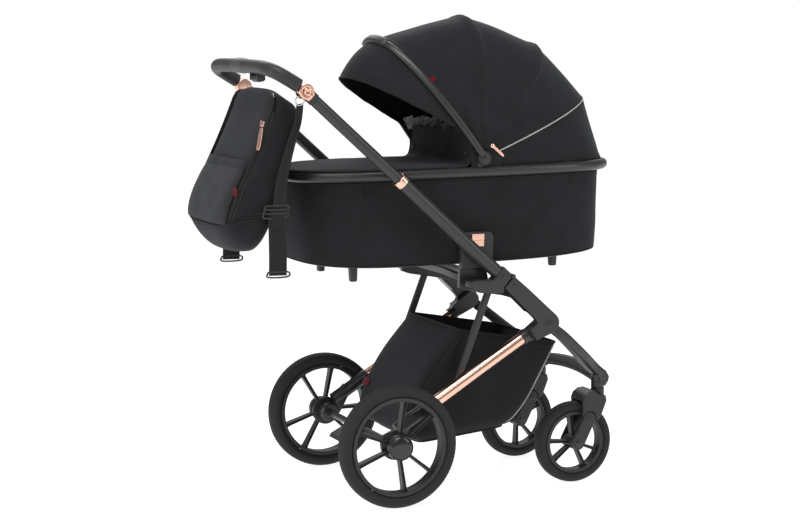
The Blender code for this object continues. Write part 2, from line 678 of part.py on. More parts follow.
def caster_fork(name, s):
    """Fork crown that swivels under the front leg and holds the sprung arms."""
    relief = ARM_R + 0.0006
    outline = [(0.5150, 0.2060), (0.5205, 0.2185), (0.5330, 0.2275), (0.5480, 0.2290), (0.5560, 0.2200)]
    outline += [(0.5780, 0.2150), (0.5810, 0.2020), (0.5680, 0.1690), (0.5580, 0.1550)]
    outline += arc(ARM_PIVOT, relief, -18.0, 158.0, 10)
    outline += [(0.5165, 0.1740)]
    body = prism(name, outline, s * (SWIVEL_Y - FORK_OUT), s * (SWIVEL_Y + FORK_OUT), PLASTIC,
                 (SWIVEL_X, s * SWIVEL_Y, 0.0), bevel=0.0026, segments=1)
    collar = lathe(name + "_collar_guide",
                   [(0.0, 0.0), (SWIVEL_R, 0.0), (SWIVEL_R, 0.0205), (SWIVEL_R - 0.0012, 0.0220), (0.0, 0.0220)],
                   (SWIVEL_X, s * SWIVEL_Y, SWIVEL_SPLIT_Z - 0.0220 - GAP), (0, 0, 1), PLASTIC, 20)
    boolean(body, "DIFFERENCE", wheel_room(name + "_wheel_guide", s))
    boolean(body, "UNION", collar)
    return body


def swing_arm(name, s):
    """Sprung arms on both sides of a front wheel, with its axle."""
    down = math.degrees(math.atan2(FRONT_AXLE[1] - ARM_PIVOT[1], FRONT_AXLE[0] - ARM_PIVOT[0]))
    outline = arc(FRONT_AXLE, 0.0170, down - 90.0, down + 90.0, 8)
    outline += arc(ARM_PIVOT, ARM_R, down + 90.0, down + 270.0, 8)
    arms = prism(name, outline, s * (SWIVEL_Y - FORK_OUT), s * (SWIVEL_Y + FORK_OUT), PLASTIC,
                 (ARM_PIVOT_X, s * SWIVEL_Y, ARM_PIVOT_Z), bevel=0.0024, segments=1)
    axle = lathe(name + "_axle_guide", [(0.0, -0.030), (AXLE_R, -0.030), (AXLE_R, 0.030), (0.0, 0.030)],
                 (FRONT_AXLE_X, s * SWIVEL_Y, FRONT_AXLE_Z), (0, 1, 0), PLASTIC, 16)
    boolean(arms, "DIFFERENCE", wheel_room(name + "_wheel_guide", s))
    boolean(arms, "UNION", axle)
    return arms


# ---------------------------------------------------------------- carrycot
def slope_carrycot():
    """Turns the carrycot's own pieces so that its head end sits a little higher."""
    centre = Vector((COT_X, 0.0, RIM_Z0))
    turn = Matrix.Translation(centre) @ Matrix.Rotation(-COT_SLOPE, 4, "Y") @ Matrix.Translation(-centre)
    for thing in bpy.context.scene.collection.objects:
        if thing.name.startswith(("cot_tub", "cot_rim", "mattress", "apron")):
            place = Matrix.Translation(thing.location)
            thing.data.transform(place.inverted() @ turn @ place)


def cot_tub(name):
    """Open tub with a rounded bottom and four feet."""
    wall = 0.006
    outer = [
        super_ring(COT_X, 0.360, 0.155, TUB_Z0 - 0.004, lift=0.010),
        super_ring(COT_X, 0.368, 0.165, TUB_Z0 - 0.004, lift=0.010),
        super_ring(COT_X, 0.372, 0.1690, TUB_Z0 - 0.001, lift=0.010),
        super_ring(COT_X, 0.379, 0.1780, TUB_Z0, lift=0.010),
        super_ring(COT_X, 0.383, 0.1815, TUB_Z0 + 0.005, lift=0.010),
        super_ring(COT_X, 0.3875, 0.1835, 0.6400),
        super_ring(COT_X, 0.3930, 0.1860, RIM_Z0 - GAP),
    ]
    inner = [
        super_ring(COT_X, 0.3930 - wall, 0.1860 - wall, RIM_Z0 - GAP),
        super_ring(COT_X, 0.3830 - wall, 0.1820 - wall, 0.6200),
        super_ring(COT_X, 0.3660, 0.1650, TUB_Z0 + 0.012, lift=0.008),
        super_ring(COT_X, 0.3500, 0.1480, TUB_Z0 + 0.008, lift=0.008),
    ]
    tub = loft(name, outer + inner, FABRIC, ladder=True)
    for label, s in SIDES:
        for x, low in ((-0.060, 0.5230), (0.465, 0.5290)):
            rings = []
            for z, w in ((low, 0.0080), (low + 0.002, 0.0090), (TUB_Z0 + 0.0060, 0.0105)):
                y = s * 0.110
                rings.append([(x - w, y - w, z), (x + w, y - w, z), (x + w, y + w, z), (x - w, y + w, z)])
            boolean(tub, "UNION", loft(f"{name}_foot_guide_{label}_{x:.2f}", rings, PLASTIC))
    return tub


def cot_rim(name):
    """Oval tube round the tub's mouth, with the two posts that the hood turns on."""
    rings = []
    mid = 0.5 * (RIM_Z0 + RIM_Z1)
    thick = 0.0110
    tall = 0.5 * (RIM_Z1 - RIM_Z0)
    for k in range(8):
        turn = 2.0 * math.pi * (k + 0.5) / 8
        out = thick * math.cos(turn)
        rings.append(super_ring(COT_X, COT_A - thick + out, COT_B - thick + out, mid + tall * math.sin(turn), 40))
    tube_ring = loft(name, rings, PLASTIC, closed=True)
    post = [(0.230, RIM_Z1 - 0.006), (0.262, RIM_Z1 - 0.006), (0.259, 0.8150), (0.246, 0.8220), (0.233, 0.8150)]
    for label, s in SIDES:
        boolean(tube_ring, "UNION", prism(f"{name}_post_guide_{label}", post, s * 0.1830, s * 0.1895, PLASTIC))
    return tube_ring


def mattress(name):
    rings = [
        super_ring(COT_X, 0.350, 0.1400, 0.5900),
        super_ring(COT_X, 0.362, 0.1540, 0.5950),
        super_ring(COT_X, 0.362, 0.1540, 0.6190),
        super_ring(COT_X, 0.350, 0.1400, 0.6240),
    ]
    return loft(name, rings, LINING, ladder=True)


def oval_half_width(x, a, b):
    t = min(1.0, abs(x - COT_X) / a)
    return b * (1.0 - t ** COT_POWER) ** (1.0 / COT_POWER)


APRON_END = 0.2150
FLAP_Z = 0.8650


def apron(name):
    """Cover over the foot half of the cot, with a wind flap that stands across it."""
    count = 8
    rings = []
    start = COT_X - COT_A + 0.0095
    xs = [start + step for step in (0.0, 0.005, 0.017, 0.038, 0.080, 0.140, 0.210, 0.280, 0.350)]
    xs.append(APRON_END - 0.008)
    for x in xs:
        half = oval_half_width(x, COT_A - 0.008, COT_B - 0.010)
        top = []
        low = []
        for i in range(count + 1):
            t = -1.0 + 2.0 * i / count
            z = RIM_Z1 + 0.0035 + 0.0080 * (1.0 - t * t) * min(1.0, (x - start + 0.012) / 0.08)
            top.append((x, half * t, z + 0.0040))
            low.append((x, half * t, z))
        rings.append(top + list(reversed(low)))
    cover = loft(name, rings, FABRIC)
    flap_rings = []
    for z, half, lean in ((RIM_Z1 + 0.0060, 0.1780, 0.0), (0.8200, 0.1760, 0.0), (0.8480, 0.1720, 0.001),
                          (0.8600, 0.1660, 0.002), (FLAP_Z, 0.1560, 0.0025)):
        x = APRON_END + lean
        flap_rings.append([(x - 0.010, -half, z), (x - 0.003, -half, z), (x - 0.003, half, z),
                           (x - 0.010, half, z)])
    flap = loft(name + "_flap_guide", flap_rings, FABRIC)
    boolean(cover, "UNION", flap)
    return cover


# ---------------------------------------------------------------- hood
def hoop_point(degrees, reach, t, width=PIVOT_Y, power=HOOD_POWER):
    """A place on a hoop: t runs from 0 at the right pivot to 1 at the left one."""
    turn = math.pi * t
    y = -math.copysign(abs(math.cos(turn)) ** (2.0 / power), math.cos(turn)) * width
    r = math.sin(turn) ** (2.0 / power) * reach
    a = math.radians(degrees)
    return Vector((PIVOT_X + r * math.cos(a), y, PIVOT_Z + r * math.sin(a)))


def hoop_ring(degrees, reach, t0=0.03, t1=0.97, count=17, width=PIVOT_Y):
    return [hoop_point(degrees, reach, t0 + (t1 - t0) * i / (count - 1), width) for i in range(count)]


def sheet_solid(name, hoops, thick, spec, origin):
    """A closed skin through hoops of points, thick towards the pivot axis."""
    bm = bmesh.new()
    centre = Vector((PIVOT_X, 0.0, PIVOT_Z))
    rings = []
    for hoop in hoops:
        inner = [p - (p - centre).normalized() * thick for p in hoop]
        rings.append(list(hoop) + list(reversed(inner)))
    rings_to_mesh(bm, rings)
    return finish_object(name, bm, spec, origin)


PIVOT = (PIVOT_X, 0.0, PIVOT_Z)


def hood_canopy(name):
    """Fabric between the front bar and the rim."""
    rows = []
    back = []
    for i in range(17):
        p = hoop_point(HOOD_BACK[0], HOOD_BACK[1], 0.03 + 0.94 * i / 16, 0.1880, 3.0)
        rim_top = RIM_Z1 + (p.x - COT_X) * math.tan(COT_SLOPE)
        back.append(Vector((p.x, p.y, max(p.z, rim_top + 0.0030))))
    rows.append(back)
    for degrees, reach in (HOOD_PIPING, (36.0, 0.343), HOOD_REAR_HOOP, (69.0, 0.329), HOOD_TOP_HOOP, (106.0, 0.330)):
        rows.append(hoop_ring(degrees, reach, 0.045, 0.955, width=0.1900))
    front = []
    for p in hoop_ring(HOOD_BAR[0], HOOD_BAR[1] - 0.006, 0.045, 0.955, width=0.1900):
        r = math.hypot(p.x - PIVOT_X, p.z - PIVOT_Z)
        turn = math.radians(HOOD_BAR[0] - 3.0) - 0.0115 / r * math.exp(-4.0 * (r - 0.05)) - 0.01
        front.append(Vector((PIVOT_X + r * math.cos(turn), p.y, PIVOT_Z + r * math.sin(turn))))
    rows.append(front)
    return sheet_solid(name, rows, 0.0040, FABRIC, PIVOT)


def hood_visor(name):
    """Fabric peak in front of the bar."""
    rows = []
    for degrees, reach, low in ((HOOD_BAR[0] + 3.6, 0.3420, 0.14), (138.0, 0.3380, 0.16), (HOOD_VISOR[0], 0.3360, 0.20)):
        rows.append(hoop_ring(degrees, reach, low, 1.0 - low, width=0.1890))
    return sheet_solid(name, rows, 0.0040, FABRIC, PIVOT)


def hood_bar(name):
    """Front hoop with pivot discs at both ends."""
    count = 25
    path = [hoop_point(HOOD_BAR[0], HOOD_BAR[1], 0.006 + 0.988 * i / (count - 1), 0.1968) for i in range(count)]
    bar = loft(name, sweep_rings(path, (0.0062, 0.0085), 8, up=(0.8, 0.0, 0.6), power=3.0), PLASTIC, PIVOT)
    for label, s in SIDES:
        disc = lathe(f"{name}_disc_guide_{label}", [(0.0, 0.0), (0.0170, 0.0), (0.0170, 0.0060), (0.0145, 0.0085), (0.0, 0.0090)],
                     (PIVOT_X, s * 0.1905, PIVOT_Z), (0, s, 0), PLASTIC, 20)
        boolean(bar, "UNION", disc)
    return bar


def hood_hoop(name, degrees, reach):
    """Thin bow inside the canopy."""
    path = [hoop_point(degrees, reach - 0.0105, 0.07 + 0.86 * i / 18, 0.1780) for i in range(19)]
    return loft(name, sweep_rings(path, (0.0022, 0.0022), 6, up=(math.cos(math.radians(degrees)), 0.0,
                                                                math.sin(math.radians(degrees)))), PLASTIC, PIVOT)


# ---------------------------------------------------------------- bag and basket
BAG_HOOK = along_tube(TILT_U + 0.040)


def bag_body(name):
    """Backpack that hangs on the handle with its bottom pushed back."""
    rings = []
    rows = (
        # height, rear face, front face, half width, power
        (0.5960, -0.3240, -0.2920, 0.0550, 2.2),
        (0.6020, -0.3460, -0.2820, 0.0980, 2.5),
        (0.6240, -0.3640, -0.2720, 0.1380, 3.0),
        (0.6600, -0.3756, -0.2660, 0.1620, 4.2),
        (0.6900, -0.3740, -0.2600, 0.1650, 5.0),
        (0.7600, -0.3500, -0.2410, 0.1660, 5.0),
        (0.8500, -0.3090, -0.2170, 0.1660, 5.0),
        (0.9150, -0.2860, -0.2050, 0.1670, 4.8),
        (0.9450, -0.2770, -0.2050, 0.1640, 4.2),
        (0.9640, -0.2700, -0.2100, 0.1480, 3.2),
        (0.9740, -0.2600, -0.2280, 0.1050, 2.6),
    )
    for z, rear, front, half, power in rows:
        rings.append(super_ring(0.5 * (rear + front), 0.5 * (front - rear), half, z, 28, power))
    return loft(name, rings, FABRIC, (BAG_HOOK[0], 0.0, BAG_HOOK[1]), ladder=True)


def bag_strap(name, s):
    """Webbing that hangs the bag on the handle and runs on as a loose shoulder strap."""
    x, z = BAG_HOOK
    route = ((x - 0.002, 0.1985, z - 0.014, 0.008), (x - 0.006, 0.1900, z - 0.034, 0.010),
             (x - 0.014, 0.1775, z - 0.062, 0.012), (-0.2100, 0.1750, 0.8600, 0.013),
             (-0.2240, 0.1750, 0.8100, 0.015), (-0.2400, 0.1750, 0.7600, 0.017), (-0.2550, 0.1750, 0.7000, 0.020),
             (-0.2610, 0.1735, 0.6200, 0.022), (-0.2620, 0.1735, 0.5450, 0.023))
    rings = []
    for px, py, pz, half in route:
        rings.append([(px - half, s * py - 0.0022, pz), (px + half, s * py - 0.0022, pz),
                      (px + half, s * py + 0.0022, pz), (px - half, s * py + 0.0022, pz)])
    return loft(name, rings, FABRIC, (x, 0.0, z))


BASKET_WALL = 0.004


def basket(name):
    """Open shopping basket between the rear and front legs."""
    def section(t, half, inset):
        """One level of the basket, t from 0 at the bottom to 1 at the mouth."""
        rear = [(0.100, 0.124), (0.058, 0.152), (0.062, 0.210), (0.112, 0.300), (0.194, 0.395)]
        front = [(0.330, 0.148), (0.357, 0.172), (0.391, 0.215), (0.434, 0.290), (0.463, 0.348)]
        i = min(int(t * 4), 3)
        f = t * 4 - i
        ax = rear[i][0] + (rear[i + 1][0] - rear[i][0]) * f + inset
        az = rear[i][1] + (rear[i + 1][1] - rear[i][1]) * f
        bx = front[i][0] + (front[i + 1][0] - front[i][0]) * f - inset
        bz = front[i][1] + (front[i + 1][1] - front[i][1]) * f
        ring = []
        count = 28
        for k in range(count):
            turn = 2.0 * math.pi * (k + 0.5) / count
            c = math.cos(turn)
            s = math.sin(turn)
            px = math.copysign(abs(c) ** 0.22, c)
            py = math.copysign(abs(s) ** 0.22, s)
            blend = 0.5 + 0.5 * px
            ring.append((ax + (bx - ax) * blend, (half - inset) * py, az + (bz - az) * blend))
        return ring

    levels = (0.0, 0.25, 0.5, 0.75, 1.0)
    halves = (0.140, 0.158, 0.164, 0.166, 0.168)
    outer = [section(t, h, 0.0) for t, h in zip(levels, halves)]
    inner = [section(t, h, BASKET_WALL) for t, h in zip(levels, halves)]
    inner[0] = [(x, y, z + BASKET_WALL) for x, y, z in inner[0]]
    rings = outer + list(reversed(inner))
    return loft(name, rings, FABRIC, ladder=True)


# ---------------------------------------------------------------- assembly
def build():
    clear_scene()
    for label, s in SIDES:
        side_frame(f"side_frame_{label}", s)
        front_leg(f"front_leg_{label}", s)
        adapter(f"adapter_{label}", s)
        adapter_button(f"adapter_button_{label}", s)
        hinge_head(f"hinge_head_{label}", s)
        tube(f"lower_tube_{label}", s, TELESCOPE_U, -0.0340 - GAP, TUBE_R, TUBE_WALL, BLACK_FRAME, 0.0)
        telescope_collar(f"telescope_collar_{label}", s)
        tube(f"upper_tube_{label}", s, TILT_U + 0.0300 + GAP, -0.2400, UPPER_R, UPPER_WALL, BLACK_FRAME, TELESCOPE_U)
        tilt_collar(f"tilt_collar_{label}", s)
        tilt_button(f"tilt_button_{label}", s)
        rear_knuckle(f"rear_knuckle_{label}", s)
        rear_tube(f"rear_tube_{label}", s)
        hub_bracket(f"hub_bracket_{label}", s)
        strut(f"strut_{label}", s)
        rear_centre = (0.0, s * REAR_Y, REAR_AXLE_Z)
        tire(f"rear_tire_{label}", rear_centre, REAR_WHEEL)
        rim(f"rear_rim_{label}", rear_centre, REAR_WHEEL, s, rear_hub_profile(), 60.0 if s < 0 else 100.0)
        front_centre = (FRONT_AXLE_X, s * SWIVEL_Y, FRONT_AXLE_Z)
        tire(f"front_tire_{label}", front_centre, FRONT_WHEEL)
        front_rim(f"front_rim_{label}", front_centre, s, 77.0 if s < 0 else 50.0)
        caster_fork(f"caster_fork_{label}", s)
        swing_arm(f"swing_arm_{label}", s)
        bag_strap(f"bag_strap_{label}", s)
    footrest_bar("footrest_bar")
    cot_bridge("cot_bridge")
    handlebar("handlebar")
    fold_trigger("fold_trigger")
    rear_axle("rear_axle")
    brake_pedal("brake_pedal")
    cot_tub("cot_tub")
    cot_rim("cot_rim")
    mattress("mattress")
    apron("apron")
    hood_bar("hood_bar")
    hood_visor("hood_visor")
    hood_hoop("hood_hoop_top", *HOOD_TOP_HOOP)
    hood_hoop("hood_hoop_rear", *HOOD_REAR_HOOP)
    hood_canopy("hood_canopy")
    bag_body("bag_body")
    basket("basket")
    slope_carrycot()
    for thing in bpy.context.scene.collection.objects:
        thing.location.x -= X_CENTRE


build()
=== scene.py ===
"""Looks of the baby stroller: detailed pieces, materials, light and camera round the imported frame."""
import math

import bmesh
import bpy
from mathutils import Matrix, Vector, noise


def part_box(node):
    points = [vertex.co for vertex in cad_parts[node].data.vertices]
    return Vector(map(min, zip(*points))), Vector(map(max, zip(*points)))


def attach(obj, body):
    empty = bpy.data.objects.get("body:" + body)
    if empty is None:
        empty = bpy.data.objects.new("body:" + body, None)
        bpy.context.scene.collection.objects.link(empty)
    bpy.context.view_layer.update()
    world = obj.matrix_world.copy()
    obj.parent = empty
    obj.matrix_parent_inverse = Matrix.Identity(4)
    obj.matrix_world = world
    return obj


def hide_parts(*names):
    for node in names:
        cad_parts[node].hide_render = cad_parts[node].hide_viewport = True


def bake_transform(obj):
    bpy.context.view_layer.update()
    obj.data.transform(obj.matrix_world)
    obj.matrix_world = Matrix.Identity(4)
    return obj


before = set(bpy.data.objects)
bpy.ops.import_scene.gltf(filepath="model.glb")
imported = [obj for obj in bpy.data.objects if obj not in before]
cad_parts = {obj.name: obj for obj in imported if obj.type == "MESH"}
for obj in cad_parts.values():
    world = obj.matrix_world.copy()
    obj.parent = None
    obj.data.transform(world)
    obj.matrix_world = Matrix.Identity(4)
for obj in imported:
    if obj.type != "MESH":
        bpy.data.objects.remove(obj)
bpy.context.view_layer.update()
AXLE_LOW, AXLE_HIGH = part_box("rear_axle")
X0 = 0.5 * (AXLE_LOW.x + AXLE_HIGH.x)     # the rear axle; design lengths are measured from it
SIDES = (("left", 1.0), ("right", -1.0))
UP = Vector((0.0, 0.0, 1.0))


def D(x, y, z):
    """A place given from the rear axle, in the row frame."""
    return Vector((x + X0, y, z))


# ---------------------------------------------------------------- camera, floor and light
TARGET = D(0.1096, 0.0, 0.5368)
DISTANCE = 4.925
AZIMUTH = -22.5
ELEVATION = 6.845
LENS_MM = 90.77
SENSOR_MM = 36.0
FLOOR_SIZE = 60.0
FLOOR_Z = -0.0006     # just under the tires
FLOOR_GREY = 0.42
FLOOR_GLOW = 0.88
ROOM_SEEN = ((1.0, 1.0, 1.0), 1.0)
ROOM_LIGHT = ((0.97, 0.98, 1.0), 0.36)
LIGHTS = (
    # name, azimuth, elevation, distance, width and height, power
    ("key_top", -36.0, 66.0, 3.2, (2.6, 1.5), 62.0),
    ("side_left", -84.0, 12.0, 3.6, (0.9, 2.8), 34.0),
    ("side_right", 46.0, 22.0, 4.0, (0.9, 2.6), 24.0),
    ("rim_back", 160.0, 40.0, 3.4, (2.6, 1.2), 44.0),
    ("strip_front", -24.0, 34.0, 3.8, (2.4, 0.35), 12.0),
)


def aimed(name, data, azimuth, elevation, distance):
    """An object that looks at the target from an azimuth and elevation in degrees."""
    turn, rise = math.radians(azimuth), math.radians(elevation)
    flat = math.cos(rise)
    back = Vector((math.sin(turn) * flat, -math.cos(turn) * flat, math.sin(rise)))
    thing = bpy.data.objects.new(name, data)
    thing.location = TARGET + back * distance
    thing.rotation_euler = back.to_track_quat("Z", "Y").to_euler()
    bpy.context.scene.collection.objects.link(thing)
    return thing


def add_camera():
    data = bpy.data.cameras.new("camera")
    data.lens = LENS_MM
    data.sensor_width = SENSOR_MM
    bpy.context.scene.camera = aimed("camera", data, AZIMUTH, ELEVATION, DISTANCE)


def add_light(name, azimuth, elevation, distance, size, power):
    data = bpy.data.lights.new(name, "AREA")
    data.shape = "RECTANGLE"
    data.size, data.size_y = size
    data.energy = power
    aimed(name, data, azimuth, elevation, distance)


def background(tree, colour, strength):
    made = tree.nodes.new("ShaderNodeBackground")
    made.inputs["Color"].default_value = (*colour, 1.0)
    made.inputs["Strength"].default_value = strength
    return made.outputs[0]


def add_world():
    """A white room: bright where it is seen, calmer as a light."""
    world = bpy.data.worlds.new("studio")
    world.use_nodes = True
    tree = world.node_tree
    tree.nodes.clear()
    seen = background(tree, *ROOM_SEEN)
    light = background(tree, *ROOM_LIGHT)
    path = tree.nodes.new("ShaderNodeLightPath")
    mix = tree.nodes.new("ShaderNodeMixShader")
    out = tree.nodes.new("ShaderNodeOutputWorld")
    tree.links.new(path.outputs["Is Camera Ray"], mix.inputs[0])
    tree.links.new(light, mix.inputs[1])
    tree.links.new(seen, mix.inputs[2])
    tree.links.new(mix.outputs[0], out.inputs["Surface"])
    bpy.context.scene.world = world


def add_floor():
    bpy.ops.mesh.primitive_plane_add(size=FLOOR_SIZE, location=(0.0, 0.0, FLOOR_Z))
    floor = bpy.context.object
    floor.name = "floor"
    made = bpy.data.materials.new("floor_white")
    made.use_nodes = True
    shader = made.node_tree.nodes["Principled BSDF"]
    shader.inputs["Base Color"].default_value = (FLOOR_GREY, FLOOR_GREY, FLOOR_GREY, 1.0)
    shader.inputs["Roughness"].default_value = 0.9
    shader.inputs["Specular IOR Level"].default_value = 0.1
    shader.inputs["Emission Color"].default_value = (1.0, 1.0, 1.0, 1.0)
    shader.inputs["Emission Strength"].default_value = FLOOR_GLOW
    floor.data.materials.append(made)


add_camera()
add_world()
add_floor()
for row in LIGHTS:
    add_light(*row)
bpy.context.scene.view_settings.view_transform = "Standard"


# ---------------------------------------------------------------- materials
class Finish:
    """A procedural material in the object's own coordinates."""

    def __init__(self, name, colour, roughness, metallic=0.0, specular=0.5):
        self.material = bpy.data.materials.new(name)
        self.material.use_nodes = True
        self.tree = self.material.node_tree
        self.shader = self.tree.nodes["Principled BSDF"]
        self.colour = colour
        self.roughness = roughness
        self.set("Base Color", (*colour, 1.0))
        self.set("Roughness", roughness)
        self.set("Metallic", metallic)
        self.set("Specular IOR Level", specular)
        self.place = self.tree.nodes.new("ShaderNodeTexCoord").outputs["Object"]
        self.normal = None

    def set(self, socket, value):
        self.shader.inputs[socket].default_value = value

    def node(self, kind, **values):
        made = self.tree.nodes.new(kind)
        for key, value in values.items():
            setattr(made, key, value)
        return made

    def math(self, operation, a, b=None):
        made = self.node("ShaderNodeMath", operation=operation)
        for socket, value in zip(made.inputs, (a, b)):
            if value is None:
                continue
            if isinstance(value, (int, float)):
                socket.default_value = value
            else:
                self.tree.links.new(value, socket)
        return made.outputs[0]

    def noise(self, scale, detail=3.0, rough=0.55):
        made = self.node("ShaderNodeTexNoise")
        made.inputs["Scale"].default_value = scale
        made.inputs["Detail"].default_value = detail
        made.inputs["Roughness"].default_value = rough
        self.tree.links.new(self.place, made.inputs["Vector"])
        return made.outputs["Fac"]

    def cells(self, scale, feature="F1"):
        made = self.node("ShaderNodeTexVoronoi", feature=feature)
        made.inputs["Scale"].default_value = scale
        self.tree.links.new(self.place, made.inputs["Vector"])
        return made.outputs["Distance"]

    def stripes(self, direction, pitch):
        """A wave from 0 to 1 along a direction, one crest each pitch."""
        dot = self.node("ShaderNodeVectorMath", operation="DOT_PRODUCT")
        self.tree.links.new(self.place, dot.inputs[0])
        dot.inputs[1].default_value = direction
        turned = self.math("MULTIPLY", dot.outputs["Value"], 2.0 * math.pi / pitch)
        wave = self.math("SINE", turned)
        return self.math("ADD", self.math("MULTIPLY", wave, 0.5), 0.5)

    def bump(self, height, strength, distance):
        made = self.node("ShaderNodeBump")
        made.inputs["Strength"].default_value = strength
        made.inputs["Distance"].default_value = distance
        self.tree.links.new(height, made.inputs["Height"])
        if self.normal is not None:
            self.tree.links.new(self.normal, made.inputs["Normal"])
        self.normal = made.outputs["Normal"]
        self.tree.links.new(self.normal, self.shader.inputs["Normal"])

    def ramp(self, factor, low, high, ends="To"):
        """A factor spread over low to high or, with ends "From", that part of it spread over 0 to 1."""
        made = self.node("ShaderNodeMapRange")
        made.inputs[f"{ends} Min"].default_value = low
        made.inputs[f"{ends} Max"].default_value = high
        self.tree.links.new(factor, made.inputs["Value"])
        return made.outputs["Result"]

    def tint(self, *layers):
        """Base colour from layers of (factor, low multiplier, high multiplier)."""
        colour = None
        for factor, low, high in layers:
            scaled = self.node("ShaderNodeVectorMath", operation="SCALE")
            if colour is None:
                scaled.inputs[0].default_value = self.colour
            else:
                self.tree.links.new(colour, scaled.inputs[0])
            self.tree.links.new(self.ramp(factor, low, high), scaled.inputs["Scale"])
            colour = scaled.outputs["Vector"]
        self.tree.links.new(colour, self.shader.inputs["Base Color"])

    def vary_roughness(self, factor, spread):
        low, high = max(0.02, self.roughness - spread), min(1.0, self.roughness + spread)
        self.tree.links.new(self.ramp(factor, low, high), self.shader.inputs["Roughness"])


def cloth(name, colour, pitch, mottling=0.30, sheen=0.10, depth=0.00022):
    """Twill: two crossing diagonals of thread, melange and soft fuzz."""
    made = Finish(name, colour, 0.86, specular=0.16)
    warp = made.stripes((0.78, 0.36, 0.62), pitch)
    weft = made.stripes((0.62, -0.36, -0.78), pitch * 1.2)
    weave = made.math("MULTIPLY", warp, weft)
    broad = made.noise(16.0, 2.0)
    fleck = made.noise(900.0, 2.0, 0.7)
    made.tint((broad, 1.0 - mottling, 1.0 + mottling), (fleck, 0.55, 1.50), (weave, 0.80, 1.22))
    made.bump(weave, 0.55, depth)
    made.bump(made.noise(55.0, 3.0), 0.25, 0.0012)
    made.set("Sheen Weight", sheen)
    made.set("Sheen Roughness", 0.45)
    made.set("Sheen Tint", (0.75, 0.78, 0.85, 1.0))
    made.vary_roughness(fleck, 0.08)
    return made.material


RUBBED_EDGE = (0.52, 0.60)     # the pointiness over which an edge shows wear


def paint(name, colour, roughness, grain=1500.0, depth=0.00005, specular=0.5, wear=1.5):
    """Powder coat or moulded plastic: a fine grain, uneven gloss and rubbed edges."""
    made = Finish(name, colour, roughness, specular=specular)
    fine = made.noise(grain, 2.0)
    broad = made.noise(24.0, 4.0)
    edge = made.node("ShaderNodeNewGeometry").outputs["Pointiness"]
    rubbed = made.ramp(edge, *RUBBED_EDGE, "From")
    made.tint((broad, 0.86, 1.14), (fine, 0.92, 1.08), (rubbed, 1.0, wear))
    made.bump(fine, 0.35, depth)
    made.vary_roughness(broad, 0.07)
    return made.material


def polished(name, colour, roughness):
    """Polished metal with faint polishing lines and small smudges."""
    made = Finish(name, colour, roughness, metallic=1.0)
    smudge = made.noise(38.0, 4.0)
    lines = made.noise(420.0, 2.0, 0.8)
    made.tint((smudge, 0.93, 1.05))
    made.bump(lines, 0.05, 0.00004)
    made.vary_roughness(smudge, 0.05)
    return made.material


def leather(name, colour):
    made = Finish(name, colour, 0.50, specular=0.42)
    pores = made.cells(620.0, "DISTANCE_TO_EDGE")
    broad = made.noise(40.0, 3.0)
    made.tint((broad, 0.82, 1.22), (pores, 0.80, 1.12))
    made.bump(pores, 0.45, 0.00030)
    made.bump(made.noise(160.0, 3.0), 0.20, 0.0005)
    made.vary_roughness(broad, 0.07)
    return made.material


def foam(name, colour):
    made = Finish(name, colour, 0.78, specular=0.28)
    specks = made.noise(1100.0, 2.0, 0.7)
    dust = made.noise(20.0, 4.0)
    made.tint((dust, 0.82, 1.25), (specks, 0.85, 1.18))
    made.bump(specks, 0.40, 0.00018)
    made.vary_roughness(dust, 0.08)
    return made.material


def webbing(name, colour, pitch=0.0019):
    """Flat woven tape: ribs across it and a herringbone over them."""
    made = Finish(name, colour, 0.72, specular=0.24)
    ribs = made.stripes((0.06, 0.0, 1.0), pitch)
    slant = made.stripes((0.70, 0.5, 0.70), pitch * 0.9)
    weave = made.math("MULTIPLY", ribs, slant)
    fleck = made.noise(700.0, 2.0)
    made.tint((fleck, 0.70, 1.35), (weave, 0.85, 1.20))
    made.bump(ribs, 0.60, 0.00028)
    made.bump(weave, 0.40, 0.00018)
    made.set("Sheen Weight", 0.10)
    return made.material


def printed_lining(name, colour):
    """Pale cotton with a small scattered print."""
    made = Finish(name, colour, 0.85, specular=0.2)
    dots = made.cells(95.0)
    inside = made.math("LESS_THAN", dots, 0.33)
    warp = made.stripes((0.8, 0.3, 0.6), 0.0009)
    weft = made.stripes((0.6, -0.3, -0.8), 0.0009)
    weave = made.math("MULTIPLY", warp, weft)
    made.tint((inside, 1.0, 0.52), (made.noise(18.0, 2.0), 0.90, 1.10), (weave, 0.92, 1.08))
    made.bump(weave, 0.45, 0.00018)
    made.set("Sheen Weight", 0.10)
    return made.material


FABRIC = cloth("charcoal_twill", (0.0138, 0.0144, 0.0156), 0.0011)
# a lighter copy of the charcoal twill for the bag's pocket: painted sheen
FABRIC_PAINTED_SHEEN = cloth("pocket_twill_painted_sheen", (0.0240, 0.0247, 0.0260), 0.0011)
LINING_DARK = cloth("black_lining", (0.0100, 0.0104, 0.0112), 0.0009, sheen=0.04)
# pale grey print, made lighter so that on the hood's low inner sides it reads as a painted patch of light;
# the cot lining uses it too
LINING = printed_lining("grey_print_lining", (0.78, 0.78, 0.79))
MATTRESS = cloth("grey_mattress_cotton", (0.36, 0.36, 0.37), 0.0012, mottling=0.08)
TRIM = cloth("grey_piping", (0.38, 0.38, 0.39), 0.0008, mottling=0.10)
RED = cloth("red_tag_tape", (0.12, 0.005, 0.014), 0.0007, mottling=0.10)
WEBBING = webbing("black_webbing", (0.0095, 0.0098, 0.0105))
FRAME_PAINT = paint("satin_black_coat", (0.0190, 0.0193, 0.0204), 0.32)
PLASTIC = paint("grained_black_plastic", (0.0200, 0.0204, 0.0215), 0.46, 900.0, 0.00007, 0.42, 1.25)
GLOSS = paint("gloss_black_plastic", (0.0120, 0.0122, 0.0130), 0.13, 2500.0, 0.00001, 0.55, 1.1)
TRAY = paint("smooth_grey_plastic", (0.0330, 0.0335, 0.0350), 0.38, 1200.0, 0.00003, wear=1.2)
ROSE = polished("polished_rose_gold", (0.87, 0.53, 0.41), 0.17)
